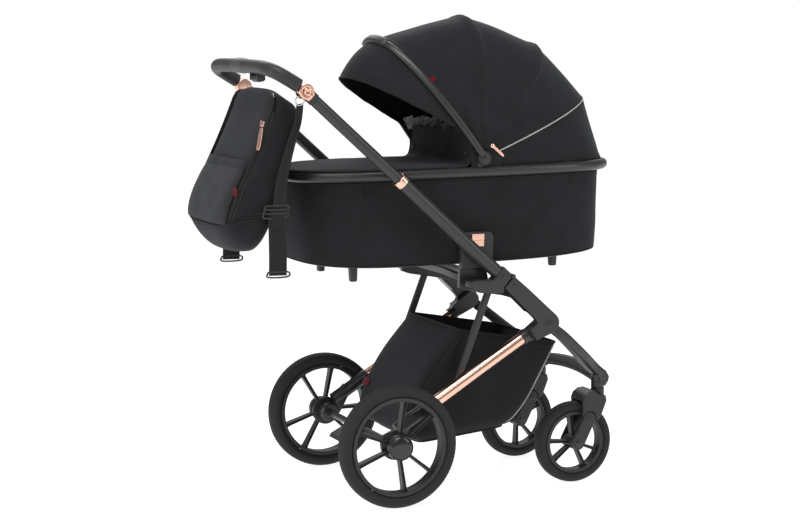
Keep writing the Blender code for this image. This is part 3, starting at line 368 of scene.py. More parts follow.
STEEL = polished("bright_steel", (0.62, 0.61, 0.60), 0.24)
LEATHER = leather("black_grained_leather", (0.0240, 0.0240, 0.0255))
LEATHER_LIGHT = leather("dark_grey_stitched_leather", (0.0480, 0.0480, 0.0505))
RUBBER = foam("foam_rubber", (0.0190, 0.0193, 0.0206))
THREAD = cloth("grey_thread", (0.0600, 0.0610, 0.0640), 0.0006, sheen=0.02)


# ---------------------------------------------------------------- mesh tools
def catmull(p0, p1, p2, p3, t):
    return 0.5 * (2 * p1 + (p2 - p0) * t + (2 * p0 - 5 * p1 + 4 * p2 - p3) * t * t
                  + (3 * p1 - p0 - 3 * p2 + p3) * t ** 3)


def smooth_rows(rows, steps):
    """More rows of numbers on the smooth curves through the given ones."""
    padded = [tuple(2 * a - b for a, b in zip(rows[0], rows[1]))] + list(rows)
    padded.append(tuple(2 * a - b for a, b in zip(rows[-1], rows[-2])))
    made = []
    for i in range(1, len(padded) - 2):
        for k in range(steps):
            made.append(tuple(catmull(*numbers, k / steps) for numbers in zip(*padded[i - 1:i + 3])))
    made.append(tuple(rows[-1]))
    return made


def smooth_path(points, steps):
    return [Vector(p) for p in smooth_rows([tuple(p) for p in points], steps)]


def resample(path, step):
    """Places along a path at equal distances."""
    made = [path[0]]
    left = step
    for a, b in zip(path, path[1:]):
        length = (b - a).length
        gone = 0.0
        while length - gone >= left:
            gone += left
            made.append(a.lerp(b, gone / length))
            left = step
        left -= length - gone
    return made


def super_pair(turn, power):
    """Cosine and sine squared up into a rounded rectangle."""
    c = math.cos(turn)
    s = math.sin(turn)
    return (math.copysign(abs(c) ** (2.0 / power), c), math.copysign(abs(s) ** (2.0 / power), s))


def turns(count, shift=0.5):
    return [2.0 * math.pi * (k + shift) / count for k in range(count)]


def fractions(count):
    return [k / count for k in range(count + 1)]


def spread(half, count):
    """Numbers from -half to half at equal distances."""
    return [-half + 2.0 * half * k / count for k in range(count + 1)]


def nearest_y(path, y):
    return min(path, key=lambda p: abs(p.y - y))


def rounded_edges(part, edges, bevel, segments):
    bmesh.ops.bevel(part, geom=edges, offset=bevel, segments=segments, profile=0.6, affect="EDGES")


class Shape:
    """Geometry of one piece before it becomes an object."""

    def __init__(self):
        self.bm = bmesh.new()

    def face(self, corners, mat):
        unique = list(dict.fromkeys(corners))
        if len(unique) > 2 and self.bm.faces.get(unique) is None:
            made = self.bm.faces.new(unique)
            made.material_index = mat

    def skin(self, rings, loop=True, closed=False, caps=True, mat=0):
        """Faces between rings of points with equal counts."""
        loops = [[self.bm.verts.new(point) for point in ring] for ring in rings]
        count = len(loops[0])
        pairs = list(zip(loops, loops[1:]))
        if closed:
            pairs.append((loops[-1], loops[0]))
        for low, high in pairs:
            for i in range(count if loop else count - 1):
                j = (i + 1) % count
                self.face((low[i], low[j], high[j], high[i]), mat)
        if caps and loop and not closed:
            self.face(list(reversed(loops[0])), mat)
            self.face(loops[-1], mat)
        return self

    def lathe(self, profile, centre, axis, steps=64, closed=False, mat=0):
        """Turns (radius, height) points about an axis."""
        axis = Vector(axis).normalized()
        side = axis.orthogonal().normalized()
        other = axis.cross(side)
        centre = Vector(centre)
        rows = []
        for radius, height in profile:
            base = centre + axis * height
            if radius < 1e-6:
                rows.append([self.bm.verts.new(base)])
                continue
            spokes = [side * math.cos(t) + other * math.sin(t) for t in turns(steps, 0.0)]
            rows.append([self.bm.verts.new(base + radius * spoke) for spoke in spokes])
        pairs = list(zip(rows, rows[1:]))
        if closed:
            pairs.append((rows[-1], rows[0]))
        for low, high in pairs:
            for i in range(steps):
                j = (i + 1) % steps
                near, far = len(low), len(high)
                self.face((low[i % near], low[j % near], high[j % far], high[i % far]), mat)
        return self

    def sweep(self, path, size, sides=24, up=UP, power=2.0, closed=False, mat=0):
        """A superellipse section (half across, half along up) carried along a path."""
        rings = []
        last = len(path) - 1
        for i, point in enumerate(path):
            before = path[i - 1] if i or closed else path[0]
            after = path[(i + 1) % len(path)] if i < last or closed else path[last]
            along = (after - before).normalized()
            across = along.cross(Vector(up)).normalized()
            high = across.cross(along).normalized()
            a, b = size[i] if isinstance(size, list) else size
            ring = []
            for turn in turns(sides, 0.0):
                c, s = super_pair(turn, power)
                ring.append(point + across * (a * c) + high * (b * s))
            rings.append(ring)
        return self.skin(rings, closed=closed, mat=mat)

    def prism(self, outline, y0, y1, bevel=0.0, segments=3, mat=0):
        """An outline of (x, z) design points made solid between two Y planes."""
        part = bmesh.new()
        low, high = min(y0, y1), max(y0, y1)
        loops = [[part.verts.new(D(x, y, z)) for x, z in outline] for y in (low, high)]
        count = len(outline)
        for i in range(count):
            j = (i + 1) % count
            part.faces.new((loops[0][i], loops[0][j], loops[1][j], loops[1][i]))
        part.faces.new(list(reversed(loops[0])))
        part.faces.new(loops[1])
        bmesh.ops.recalc_face_normals(part, faces=part.faces)
        if bevel:
            edges = [e for e in part.edges if abs(e.verts[0].co.y - e.verts[1].co.y) < 1e-6]
            rounded_edges(part, edges, bevel, segments)
        return self.take(part, mat)

    def slab(self, centre, across, high, thick, bevel=0.0006, mat=0):
        """A small block given by three half vectors."""
        part = bmesh.new()
        corners = [part.verts.new(centre + across * a + high * b + thick * c)
                   for a in (-1, 1) for b in (-1, 1) for c in (-1, 1)]
        for quad in ((0, 1, 3, 2), (4, 6, 7, 5), (0, 4, 5, 1), (2, 3, 7, 6), (0, 2, 6, 4), (1, 5, 7, 3)):
            part.faces.new([corners[i] for i in quad])
        bmesh.ops.recalc_face_normals(part, faces=part.faces)
        if bevel:
            rounded_edges(part, list(part.edges), bevel, 2)
        return self.take(part, mat)

    def stitches(self, path, out, pitch=0.0052, length=0.0036, radius=0.00042, mat=0):
        """Short threads along a path, each a little proud of the cloth."""
        places = resample(path, pitch)
        for a, b in zip(places, places[1:]):
            along = (b - a).normalized()
            half = along * (0.5 * length)
            middle = 0.5 * (a + b)
            normal = out(middle) if callable(out) else Vector(out)
            thread = [middle - half, middle + normal * radius * 0.9, middle + half]
            end = (radius * 0.5, radius * 0.4)
            self.sweep(thread, [end, (radius, radius * 0.8), end], 6, normal, mat=mat)
        return self

    def take(self, part, mat):
        for face in part.faces:
            face.material_index = mat
        mesh = bpy.data.meshes.new("part")
        part.to_mesh(mesh)
        part.free()
        self.bm.from_mesh(mesh)
        bpy.data.meshes.remove(mesh)
        return self

    def ruffle(self, amount, *waves):
        """Moves every point along its normal by summed noise; waves are (scale, share)."""
        self.bm.normal_update()
        for vert in self.bm.verts:
            push = sum(share * noise.noise(vert.co * scale) for scale, share in waves)
            vert.co += vert.normal * (amount * push)
        return self


def make(name, shape, body, mats, replaces=(), sharp=38.0, levels=0, wall=0.0, inner=0):
    """The finished piece: its object, materials, body and the CAD nodes it stands for."""
    mats = mats if isinstance(mats, list) else [mats]
    bm = shape.bm
    bmesh.ops.remove_doubles(bm, verts=bm.verts, dist=1e-6)
    bmesh.ops.recalc_face_normals(bm, faces=bm.faces)
    mesh = bpy.data.meshes.new(name)
    bm.to_mesh(mesh)
    bm.free()
    for material in mats:
        mesh.materials.append(material)
    mesh.shade_smooth()
    mesh.set_sharp_from_angle(angle=math.radians(sharp))
    piece = bpy.data.objects.new(name, mesh)
    bpy.context.scene.collection.objects.link(piece)
    if wall:
        step = piece.modifiers.new("wall", "SOLIDIFY")
        step.thickness = wall
        step.offset = -1.0
        step.material_offset = inner
    if levels:
        step = piece.modifiers.new("smooth", "SUBSURF")
        step.levels = levels
        step.render_levels = levels
    if wall or levels:
        freeze(piece)
    if body:
        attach(piece, body)
    if replaces:
        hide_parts(*replaces)
    return piece


def freeze(piece):
    """Applies every modifier."""
    graph = bpy.context.evaluated_depsgraph_get()
    solid = bpy.data.meshes.new_from_object(piece.evaluated_get(graph))
    piece.modifiers.clear()
    old = piece.data
    piece.data = solid
    bpy.data.meshes.remove(old)


def rounded(profile, radius, steps=4):
    """A (radius, height) outline with its inner corners rounded."""
    made = [profile[0]]
    for before, corner, after in zip(profile, profile[1:], profile[2:]):
        p, a, b = Vector(corner), Vector(before), Vector(after)
        r = min(radius, 0.45 * (a - p).length, 0.45 * (b - p).length)
        start = p + (a - p).normalized() * r
        end = p + (b - p).normalized() * r
        for k in range(steps + 1):
            t = k / steps
            made.append(tuple(start * (1 - t) ** 2 + p * (2 * t * (1 - t)) + end * t * t))
    made.append(profile[-1])
    return made


# ---------------------------------------------------------------- handle line and rear legs
TUBE_TILT = math.radians(42.0)
TUBE_Y = 0.2250
TUBE_R = 0.0165
UPPER_R = 0.0135
TILT_U = -0.6800
TELESCOPE_U = -0.3565
LEG_DIR = math.radians(211.4)
LEG_Y = 0.2120
LEG_R = 0.0140
BAR_R = 0.0165
BAND_HALF = 0.0460     # half the length of the bar's middle band
KNEE = (0.3980, 0.4110)
REAR_AXLE_Z = 0.1450


def along_tube(u, v=0.0):
    """Design (x, z) on the handle line: u down towards the front, v above it."""
    c, s = math.cos(TUBE_TILT), math.sin(TUBE_TILT)
    return (0.2900 + u * c + v * s, 0.5164 - u * s + v * c)


def on_tube(u, y, v=0.0):
    x, z = along_tube(u, v)
    return D(x, y, z)


def leg_xz(r, v=0.0):
    c, s = math.cos(LEG_DIR), math.sin(LEG_DIR)
    return (KNEE[0] + r * c + v * s, KNEE[1] + r * s - v * c)


def on_leg(r, y, v=0.0):
    x, z = leg_xz(r, v)
    return D(x, y, z)


def pipe(name, start, end, radius, wall, body, mat, nodes, lip=0.0008):
    """A hollow tube with rolled ends."""
    length = (end - start).length
    profile = [(radius - wall, 0.0), (radius - lip, 0.0), (radius, lip), (radius, 0.5 * length),
               (radius, length - lip), (radius - lip, length), (radius - wall, length)]
    return make(name, Shape().lathe(profile, start, end - start, 72, closed=True), body, mat, nodes)


def bolt(name, x, z, y, s, radius, body, mat=STEEL):
    """A domed screw head with a socket, flat against a side face."""
    profile = [(0.0, -0.0012), (radius, -0.0012), (radius, 0.0006), (radius * 0.9, 0.0014),
               (radius * 0.5, 0.0018), (radius * 0.45, 0.0008), (0.0, 0.0008)]
    return make(name, Shape().lathe(profile, D(x, y, z), (0, s, 0), 28), body, mat)


def add_handle_tubes():
    for label, s in SIDES:
        y, leg_y = s * TUBE_Y, s * LEG_Y
        pipe(f"lower_tube_skin_{label}", on_tube(TELESCOPE_U, y), on_tube(-0.0344, y), TUBE_R, 0.0022,
             "handle_lower", FRAME_PAINT, (f"lower_tube_{label}",))
        pipe(f"upper_tube_skin_{label}", on_tube(TILT_U + 0.0304, y), on_tube(-0.2400, y), UPPER_R, 0.0018,
             "handle_upper", FRAME_PAINT, (f"upper_tube_{label}",))
        pipe(f"rear_tube_skin_{label}", on_leg(0.0720, leg_y), on_leg(0.3420, leg_y), LEG_R, 0.0020,
             "rear_frame", ROSE, (f"rear_tube_{label}",), 0.0004)
        pipe(f"rear_tube_sleeve_{label}", on_leg(0.3423, leg_y), on_leg(0.3850, leg_y), LEG_R + 0.0026,
             0.0044, "rear_frame", FRAME_PAINT, (), 0.0010)
        add_telescope_ring(label, y)
        add_tilt_knuckle(label, s)


def add_telescope_ring(label, y):
    inner, outer, length = UPPER_R + 0.0004, TUBE_R + 0.0022, 0.0180
    clamp = rounded([(inner, 0.0), (outer, 0.0), (outer, length), (inner, length)], 0.0022)
    down = on_tube(0, y) - on_tube(-1, y)
    ring = Shape().lathe(clamp, on_tube(TELESCOPE_U - length, y), down, 72, closed=True)
    make(f"telescope_ring_{label}", ring, "handle_lower", ROSE, (f"telescope_collar_{label}",))


def add_tilt_knuckle(label, s):
    """The drum with its push recess, the two rings on the tube and the push button."""
    y = s * TUBE_Y
    centre = on_tube(TILT_U, y)
    axis = Vector((0, s, 0))
    drum = [(0.0, -0.0150), (0.0182, -0.0150), (0.0182, 0.0150), (0.0094, 0.0150), (0.0094, 0.0040),
            (0.0, 0.0040)]
    knuckle = Shape().lathe(rounded(drum, 0.0024), centre, axis, 72)
    for first, last, mat in ((0.0060, 0.0185, 0), (0.0186, 0.0300, 1)):
        start, end = on_tube(TILT_U + first, y), on_tube(TILT_U + last, y)
        length = (end - start).length
        wide = UPPER_R + 0.0020 - 0.0006 * mat
        ring = [(0.0, 0.0), (wide, 0.0), (wide, length), (0.0, length)]
        knuckle.lathe(rounded(ring, 0.0010), start, end - start, 64, mat=mat)
    make(f"tilt_knuckle_{label}", knuckle, "handle_upper", [ROSE, PLASTIC], (f"tilt_collar_{label}",))
    head = [(0.0, 0.0), (0.0088, 0.0), (0.0088, 0.0070), (0.0062, 0.0080), (0.0040, 0.0074), (0.0, 0.0072)]
    push = Shape().lathe(rounded(head, 0.0010), centre + axis * 0.0110, axis, 48)
    make(f"tilt_push_{label}", push, f"tilt_press_{label}", ROSE, (f"tilt_button_{label}",))


def handle_path(steps=8):
    x, z = along_tube(TILT_U - 0.0200)
    half = [(x, TUBE_Y, z), (x - 0.030, TUBE_Y - 0.001, z + 0.018), (x - 0.050, TUBE_Y - 0.010, z + 0.030),
            (x - 0.060, TUBE_Y - 0.038, z + 0.037), (x - 0.062, TUBE_Y - 0.085, z + 0.040),
            (x - 0.062, 0.060, z + 0.041)]
    right = [(px, -py, pz) for px, py, pz in half]
    points = right + [(x - 0.062, 0.0, z + 0.041)] + list(reversed(half))
    return smooth_path([D(*p) for p in points], steps)


def add_handlebar():
    """Leather-wrapped bar: a stitched middle band between two rings, with sewn seams."""
    up = Vector((0.6, 0.0, 0.8))
    across = Vector((0.8, 0.0, -0.6))
    path = handle_path()
    radius = BAR_R
    middle = [p for p in path if abs(p.y) < BAND_HALF]
    bar = Shape().sweep(path, (radius - 0.0003, radius - 0.0003), 40, up)
    band_end = [(radius - 0.0012, radius - 0.0012)]
    bar.sweep(middle, band_end + [(radius, radius)] * (len(middle) - 2) + band_end, 40, up, mat=1)
    low, high = radius - 0.003, radius + 0.0001
    ring = rounded([(low, -0.0016), (high, -0.0016), (high, 0.0016), (low, 0.0016)], 0.0008)
    for side in (-1.0, 1.0):
        place = nearest_y(path, side * (BAND_HALF + 0.0015))
        bar.lathe(ring, place, (0, 1, 0), 40, closed=True, mat=2)
    for angle in (-58.0, 122.0):
        turn = math.radians(angle)
        out = across * math.cos(turn) + up * math.sin(turn)
        line = [p + out * (radius + 0.0001) for p in middle[1:-1]]
        bar.stitches(line, out, 0.0058, 0.0040, 0.00055, mat=3)
        for sign in (-1.0, 1.0):
            beside = [p + across * (sign * 0.0032) for p in line]
            bar.stitches(beside, out, 0.0058, 0.0038, 0.00045, mat=3)
    make("handlebar_leather", bar, "handle_grip", [LEATHER, LEATHER_LIGHT, PLASTIC, THREAD], ("handlebar",),
         sharp=50.0)


def add_trigger_mount():
    """Cheeks on the bar that hold the trigger's ends."""
    low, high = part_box("fold_trigger")
    bar = nearest_y(handle_path(), 0.5 * (low.y + high.y))
    top = bar.z - 0.0130
    half_height = Vector((0, 0, 0.5 * (top - low.z) - 0.0020))
    mount = Shape()
    for y in (low.y - 0.0022, high.y + 0.0022):
        middle = Vector((bar.x + 0.0020, y, 0.5 * (top + low.z) + 0.0020))
        mount.slab(middle, Vector((0.0105, 0, 0)), half_height, Vector((0, 0.0016, 0)), 0.0010)
    make("trigger_mount", mount, "handle_grip", PLASTIC, sharp=50.0)


add_handle_tubes()
add_handlebar()
add_trigger_mount()


# ---------------------------------------------------------------- wheels
REAR_WHEEL = dict(tire_r=0.1450, tire_w=0.0440, seat_r=0.1180, rim_in=0.1085, hub_r=0.0210)
FRONT_WHEEL = dict(tire_r=0.1000, tire_w=0.0400, seat_r=0.0780, rim_in=0.0690, hub_r=0.0160)
SWIVEL = (0.5720, 0.1600)
FRONT_AXLE = (0.5040, 0.1000)
WHEELS = (
    # end, x, y, z, sizes, spoke angle on the right and on the left
    ("rear", 0.0, 0.2500, REAR_AXLE_Z, REAR_WHEEL, 60.0, 100.0),
    ("front", FRONT_AXLE[0], SWIVEL[1], FRONT_AXLE[1], FRONT_WHEEL, 77.0, 50.0),
)
SPOKE_SPLIT = 21.5     # degrees from a pair's middle to each spoke
TREAD_BLOCKS = 90
STEPS_PER_BLOCK = 4


def add_tire(name, centre, wheel, body, node):
    """Crowned foam tire with two fine grooves and shallow shoulder notches."""
    half = 0.5 * wheel["tire_w"]
    seat = wheel["seat_r"]
    thick = wheel["tire_r"] - seat
    side = [(0.0, 0.62), (0.16, 0.86), (0.35, 1.0), (0.58, 0.97), (0.78, 0.84), (0.92, 0.64), (0.985, 0.42)]
    crown = [(0.998, 0.30), (0.999, 0.20), (0.965, 0.185), (0.965, 0.155), (1.0, 0.14), (1.0, 0.0)]
    half_outline = smooth_rows(side, 3) + crown
    full = half_outline + [(r, -o) for r, o in reversed(half_outline[:-1])]
    steps = TREAD_BLOCKS * STEPS_PER_BLOCK
    rings = []
    for rise, out in full:
        ring = []
        for k in range(steps):
            cut = k % STEPS_PER_BLOCK == 0 and 0.55 < abs(out) < 0.93 and rise > 0.6
            radius = seat + thick * rise - (0.0009 if cut else 0.0)
            turn = 2.0 * math.pi * k / steps
            ring.append(centre + Vector((radius * math.cos(turn), half * out, radius * math.sin(turn))))
        rings.append(ring)
    make(name, Shape().skin(rings, caps=False, closed=True), body, RUBBER, (node,), sharp=60.0)


def spoke_ring(base, across, wide, deep, thin=0.0016, recess=0.0042):
    """An I-section: two flanges joined by a thin web."""
    w, d = wide, deep
    flange = w - min(thin, wide * 0.42)
    web, r = flange - 0.0004, d - recess
    outline = [(-w, -d), (-w, d), (-flange, d), (-web, r), (web, r), (flange, d),
               (w, d), (w, -d), (flange, -d), (web, -r), (-web, -r), (-flange, -d)]
    return [base + across * a + Vector((0.0, b, 0.0)) for a, b in outline]


def add_rim(name, centre, wheel, s, body, node, phase, rear):
    seat = wheel["seat_r"] - 0.0004
    inner = wheel["rim_in"]
    half = 0.36 * wheel["tire_w"]
    lip = [(inner - 0.0004, 0.0), (inner - 0.0004, half - 0.0050), (inner + 0.0004, half - 0.0022),
           (inner - 0.0006, half - 0.0014), (inner - 0.0006, half + 0.0002), (inner + 0.0012, half + 0.0012),
           (seat - 0.0014, half + 0.0012), (seat, half), (seat, 0.0)]
    ring = lip + [(r, -h) for r, h in reversed(lip[1:-1])]
    rim = Shape().lathe(ring, centre, (0, 1, 0), 160, closed=True)
    for k in range(6):
        turn = math.radians(phase + 120.0 * (k // 2) + (SPOKE_SPLIT if k % 2 else -SPOKE_SPLIT))
        along = Vector((math.cos(turn), 0.0, math.sin(turn)))
        across = Vector((-along.z, 0.0, along.x))
        start, end = wheel["hub_r"] - 0.005, inner + 0.002
        rings = []
        for f in (0.0, 0.12, 0.35, 0.6, 0.85, 0.94, 1.0):
            flare = 0.0020 * max(0.0, (f - 0.85) / 0.15) ** 2
            wide = 0.0032 + 0.0012 * f + flare
            base = centre + along * (start + (end - start) * f)
            rings.append(spoke_ring(base, across, wide, 0.0088 + 0.0012 * f))
        rim.skin(rings)
    out = Vector((0, s, 0))
    if rear:
        barrel = [(0.0, -0.0200), (0.0350, -0.0235), (0.0350, -0.0130), (0.0240, -0.0090), (0.0240, 0.0060),
                  (0.0300, 0.0080), (0.0300, 0.0240), (0.0, 0.0240)]
        rim.lathe(rounded(barrel, 0.0016), centre, out, 64)
        cap = [(0.0, 0.0230), (0.0296, 0.0230), (0.0296, 0.0248), (0.0286, 0.0252), (0.0280, 0.0246),
               (0.0266, 0.0268), (0.0230, 0.0294), (0.0160, 0.0311), (0.0080, 0.0318), (0.0, 0.0320)]
        make(f"{name}_cap", Shape().lathe(cap, centre, out, 72), body, GLOSS)
    else:
        barrel = [(0.0, -0.0228), (0.0155, -0.0228), (0.0175, -0.0150), (0.0175, 0.0150), (0.0155, 0.0228),
                  (0.0, 0.0228)]
        rim.lathe(rounded(barrel, 0.0012), centre, out, 56)
        dish = [(0.0, 0.0226), (0.0120, 0.0226), (0.0120, 0.0232), (0.0, 0.0236)]
        for side in (-1.0, 1.0):
            rim.lathe(dish, centre, (0, side, 0), 40, mat=1)
    make(name, rim, body, [PLASTIC, GLOSS], (node,), sharp=32.0)


def add_wheels():
    for label, s in SIDES:
        for end, x, y, z, wheel, right, left in WHEELS:
            centre = D(x, s * y, z)
            body = f"{end}_wheel_{label}"
            add_tire(f"{end}_tire_skin_{label}", centre, wheel, body, f"{end}_tire_{label}")
            add_rim(f"{end}_wheel_rim_{label}", centre, wheel, s, body, f"{end}_rim_{label}",
                    right if s < 0 else left, end == "rear")


add_wheels()


# ---------------------------------------------------------------- front legs, footrest and castings
PIN_Y = 0.1980
CASTING_Y = 0.2418
FORK_HALF = 0.0346


def add_front_leg(label, s):
    turn = math.radians(-39.4)
    first = (KNEE[0] + 0.0240 * math.cos(turn), KNEE[1] + 0.0240 * math.sin(turn))
    route = [(first[0], s * 0.2165, first[1]), (0.4450, s * 0.2140, 0.3745), (0.4930, s * 0.1960, 0.3340),
             (0.5450, s * 0.1680, 0.2910), (0.5740, s * SWIVEL[1], 0.2675)]
    path = smooth_path([D(*p) for p in route], 12)
    last = len(path) - 1
    sizes = [(0.0085 + 0.0080 * min(1.0, 1.6 * i / last), 0.0130) for i in range(len(path))]
    leg = Shape().sweep(path, sizes, 40, power=3.4)
    nose = [(0.5560, 0.2620), (0.5740, 0.2840), (0.5900, 0.2720), (0.5985, 0.2575), (0.5965, 0.2470),
            (0.5880, 0.2345), (0.5740, 0.2340), (0.5620, 0.2400)]
    leg.prism(nose, s * (SWIVEL[1] - 0.0140), s * (SWIVEL[1] + 0.0140), 0.0050, 4)
    socket = [(0.0, 0.0), (0.0153, 0.0), (0.0165, 0.0014), (0.0165, 0.0260), (0.0161, 0.0266),
              (0.0161, 0.0274), (0.0165, 0.0280), (0.0165, 0.0410), (0.0120, 0.0470), (0.0, 0.0470)]
    leg.lathe(socket, D(SWIVEL[0], s * SWIVEL[1], 0.2314), (0, 0, 1), 56)
    make(f"front_leg_skin_{label}", leg, "chassis", FRAME_PAINT, (f"front_leg_{label}",))
    cap = [(0.0, 0.0), (0.0085, 0.0), (0.0085, 0.0010), (0.0070, 0.0022), (0.0, 0.0026)]
    pin = Shape().lathe(cap, D(0.5790, s * (SWIVEL[1] + 0.0135), 0.2560), (0, s, 0), 36)
    make(f"front_leg_pin_{label}", pin, "chassis", PLASTIC)


def add_footrest():
    """A bowed bar with three fine ribs on its tread."""
    up = Vector((-0.75, 0.0, 0.66))
    bows = [(t, 1 - t * t) for t in spread(1.0, 48)]
    points = [D(0.577 + 0.006 * bow, 0.1420 * t, 0.2560 + 0.010 * bow) for t, bow in bows]
    bar = Shape().sweep(points, (0.0165, 0.0085), 40, up, 2.8)
    high = up.normalized()
    across = Vector((0.66, 0.0, 0.75)).normalized()
    for offset in (-0.0070, 0.0, 0.0070):
        line = [p + high * 0.0084 + across * offset for p in points[5:-5]]
        bar.sweep(line, (0.0011, 0.0007), 8, up)
    make("footrest_skin", bar, "chassis", PLASTIC, ("footrest_bar",))


def add_fittings():
    """Screws, pins and caps on the chassis, legs and forks."""
    for label, s in SIDES:
        for name, (x, z), y, radius, body, mat in (
                ("strut_pin", (0.2670, 0.5130), PIN_Y, 0.0042, "struts", STEEL),
                ("strut_foot_pin", leg_xz(0.2590), PIN_Y, 0.0042, "struts", STEEL),
                ("fold_pin", along_tube(0.0180, 0.0010), CASTING_Y, 0.0060, "chassis", FRAME_PAINT),
                ("knee_pin", KNEE, CASTING_Y, 0.0110, "chassis", PLASTIC),
                ("hinge_screw", along_tube(-0.0210), CASTING_Y, 0.0040, "handle_lower", FRAME_PAINT)):
            bolt(f"{name}_{label}", x, z, s * y, s, radius, body, mat)
        for out in (1.0, -1.0):
            y = s * SWIVEL[1] + out * FORK_HALF
            tag = f"{label}_{'outer' if out == s else 'inner'}"
            body = f"suspension_{label}"
            bolt(f"arm_pivot_cap_{tag}", 0.5345, 0.1600, y, out, 0.0082, body, PLASTIC)
            bolt(f"front_axle_cap_{tag}", *FRONT_AXLE, y, out, 0.0085, body, GLOSS)


for side_label, side_sign in SIDES:
    add_front_leg(side_label, side_sign)
add_footrest()
add_fittings()


# ---------------------------------------------------------------- carrycot
COT_X = 0.2147
COT_A = 0.4187
COT_B = 0.1970
COT_POWER = 3.6
COT_SLOPE = math.radians(0.95)
RIM_Z0 = 0.7620
RIM_Z1 = 0.7870
TUB_FOOT = 0.5660     # height at which the straight sides begin
TUB_TOP = RIM_Z0 + 0.0030
PAD_TOP = (0.3500, 0.1420, 0.6225)
PAD_BASE = (0.3400, 0.1320, 0.5900)
LINING_FLOOR = (0.3500, 0.1480, 0.5690)
OVAL_COUNT = 176
PIVOT = (0.2460, 0.8075)
APRON_COLUMNS = 56


def sloped(x, y, z):
    """A place on the carrycot, whose head end sits a little higher."""
    c, s = math.cos(COT_SLOPE), math.sin(COT_SLOPE)
    dx, dz = x - COT_X, z - RIM_Z0
    return D(COT_X + dx * c - dz * s, y, RIM_Z0 + dx * s + dz * c)


def rim_top(x):
    return RIM_Z1 + (x - COT_X) * math.tan(COT_SLOPE)


def oval(a, b, z, count=OVAL_COUNT, lift=0.0):
    ring = []
    for turn in turns(count):
        x, y = super_pair(turn, COT_POWER)
        ring.append(sloped(COT_X + a * x, b * y, z + lift * abs(x) ** 4))
    return ring


def oval_half_width(x, a, b):
    t = min(1.0, abs(x - COT_X) / a)
    return b * (1.0 - t ** COT_POWER) ** (1.0 / COT_POWER)


def add_tub():
    """Fabric sides over a tray: taut at rim and seam, a little slack between them."""
    shell = Shape()
    rows = [(0.3790, 0.1780, 0.5596, 1.0), (0.3818, 0.1806, 0.5620, 0.9), (0.3835, 0.1818, TUB_FOOT, 0.8)]
    rings = [oval(a, b, z, lift=0.010 * share) for a, b, z, share in rows]
    for f in fractions(24)[1:]:
        z = TUB_FOOT + (TUB_TOP - TUB_FOOT) * f
        out = 0.0016 * math.sin(math.pi * f)
        a = 0.3835 + 0.0095 * f - 0.0010 * math.sin(math.pi * f) + out
        rings.append(oval(a, 0.1818 + 0.0042 * f + out, z, lift=0.010 * max(0.0, 0.8 - 3.0 * f)))
    rings.append(oval(0.3850, 0.1780, TUB_TOP))
    shell.skin(rings, caps=False)
    shell.ruffle(0.0014, (9.0, 1.0), (26.0, 0.45))
    make("cot_fabric", shell, "carrycot", [FABRIC, LINING_DARK], ("cot_tub",), wall=0.0016, inner=1)
    add_tub_seams()
    add_tub_tray()
    add_tub_lining()
    add_tub_feet()


def add_tub_seams():
    """Edge seams, a sewn line under the rim and a dart at each corner."""
    middle = D(COT_X, 0, 0).x
    seams = Shape()
    seams.sweep(oval(0.3822, 0.1812, 0.5606, 220, 0.0098), (0.0016, 0.0016), 8, closed=True)
    seams.sweep(oval(0.3930, 0.1858, RIM_Z0 - 0.0030, 220), (0.0020, 0.0014), 8, closed=True)
    line = oval(0.3933, 0.1865, RIM_Z0 - 0.0110, 240)
    seams.stitches(line + line[:1], lambda p: Vector((p.x - middle, 3.0 * p.y, 0.0)).normalized(), mat=1)
    for sx, top, low in ((1.0, 0.4880, 0.4540), (-1.0, -0.0600, -0.0260)):
        for sy in (-1.0, 1.0):
            dart = []
            for f in fractions(24):
                z = 0.7560 - (0.7560 - 0.6460) * f
                x = top + (low - top) * f
                g = (z - TUB_FOOT) / (TUB_TOP - TUB_FOOT)
                across = oval_half_width(x, 0.3835 + 0.0095 * g, 0.1818 + 0.0042 * g + 0.0014)
                dart.append(sloped(x, sy * across, z))
            seams.sweep(dart, (0.0008, 0.0006), 6, (0, sy, 0))
            beside = [p + Vector((0.0030 * sx, sy * 0.0003, 0)) for p in dart]
            seams.stitches(beside, (0, sy, 0), 0.0052, 0.0034, 0.0004, mat=1)
    make("cot_seams", seams, "carrycot", [FABRIC, THREAD])


def add_tub_tray():
    tray = Shape()
    low = [(0.3400, 0.1350, 0.5535), (0.3600, 0.1550, 0.5550), (0.3690, 0.1640, 0.5552),
           (0.3735, 0.1695, 0.5566), (0.3765, 0.1738, 0.5590), (0.3772, 0.1745, 0.5620)]
    tray.skin([oval(a, b, z, lift=0.010) for a, b, z in low])
    make("cot_tray", tray, "carrycot", TRAY, sharp=24.0)


def add_tub_lining():
    lining = Shape()
    inner = [(0.3840, 0.1775, RIM_Z0 + 0.0010), (0.3800, 0.1745, 0.7000), (0.3760, 0.1735, 0.6300),
             (0.3660, 0.1650, 0.5735), LINING_FLOOR]
    lining.skin([oval(*row, lift=0.004) for row in smooth_rows(inner, 6)], caps=False)
    lining.skin([oval(*LINING_FLOOR, lift=0.004), [sloped(COT_X, 0.0, 0.5685)] * OVAL_COUNT], caps=False)
    lining.ruffle(0.0016, (12.0, 1.0), (40.0, 0.35))
    make("cot_lining", lining, "carrycot", LINING, wall=0.0012)


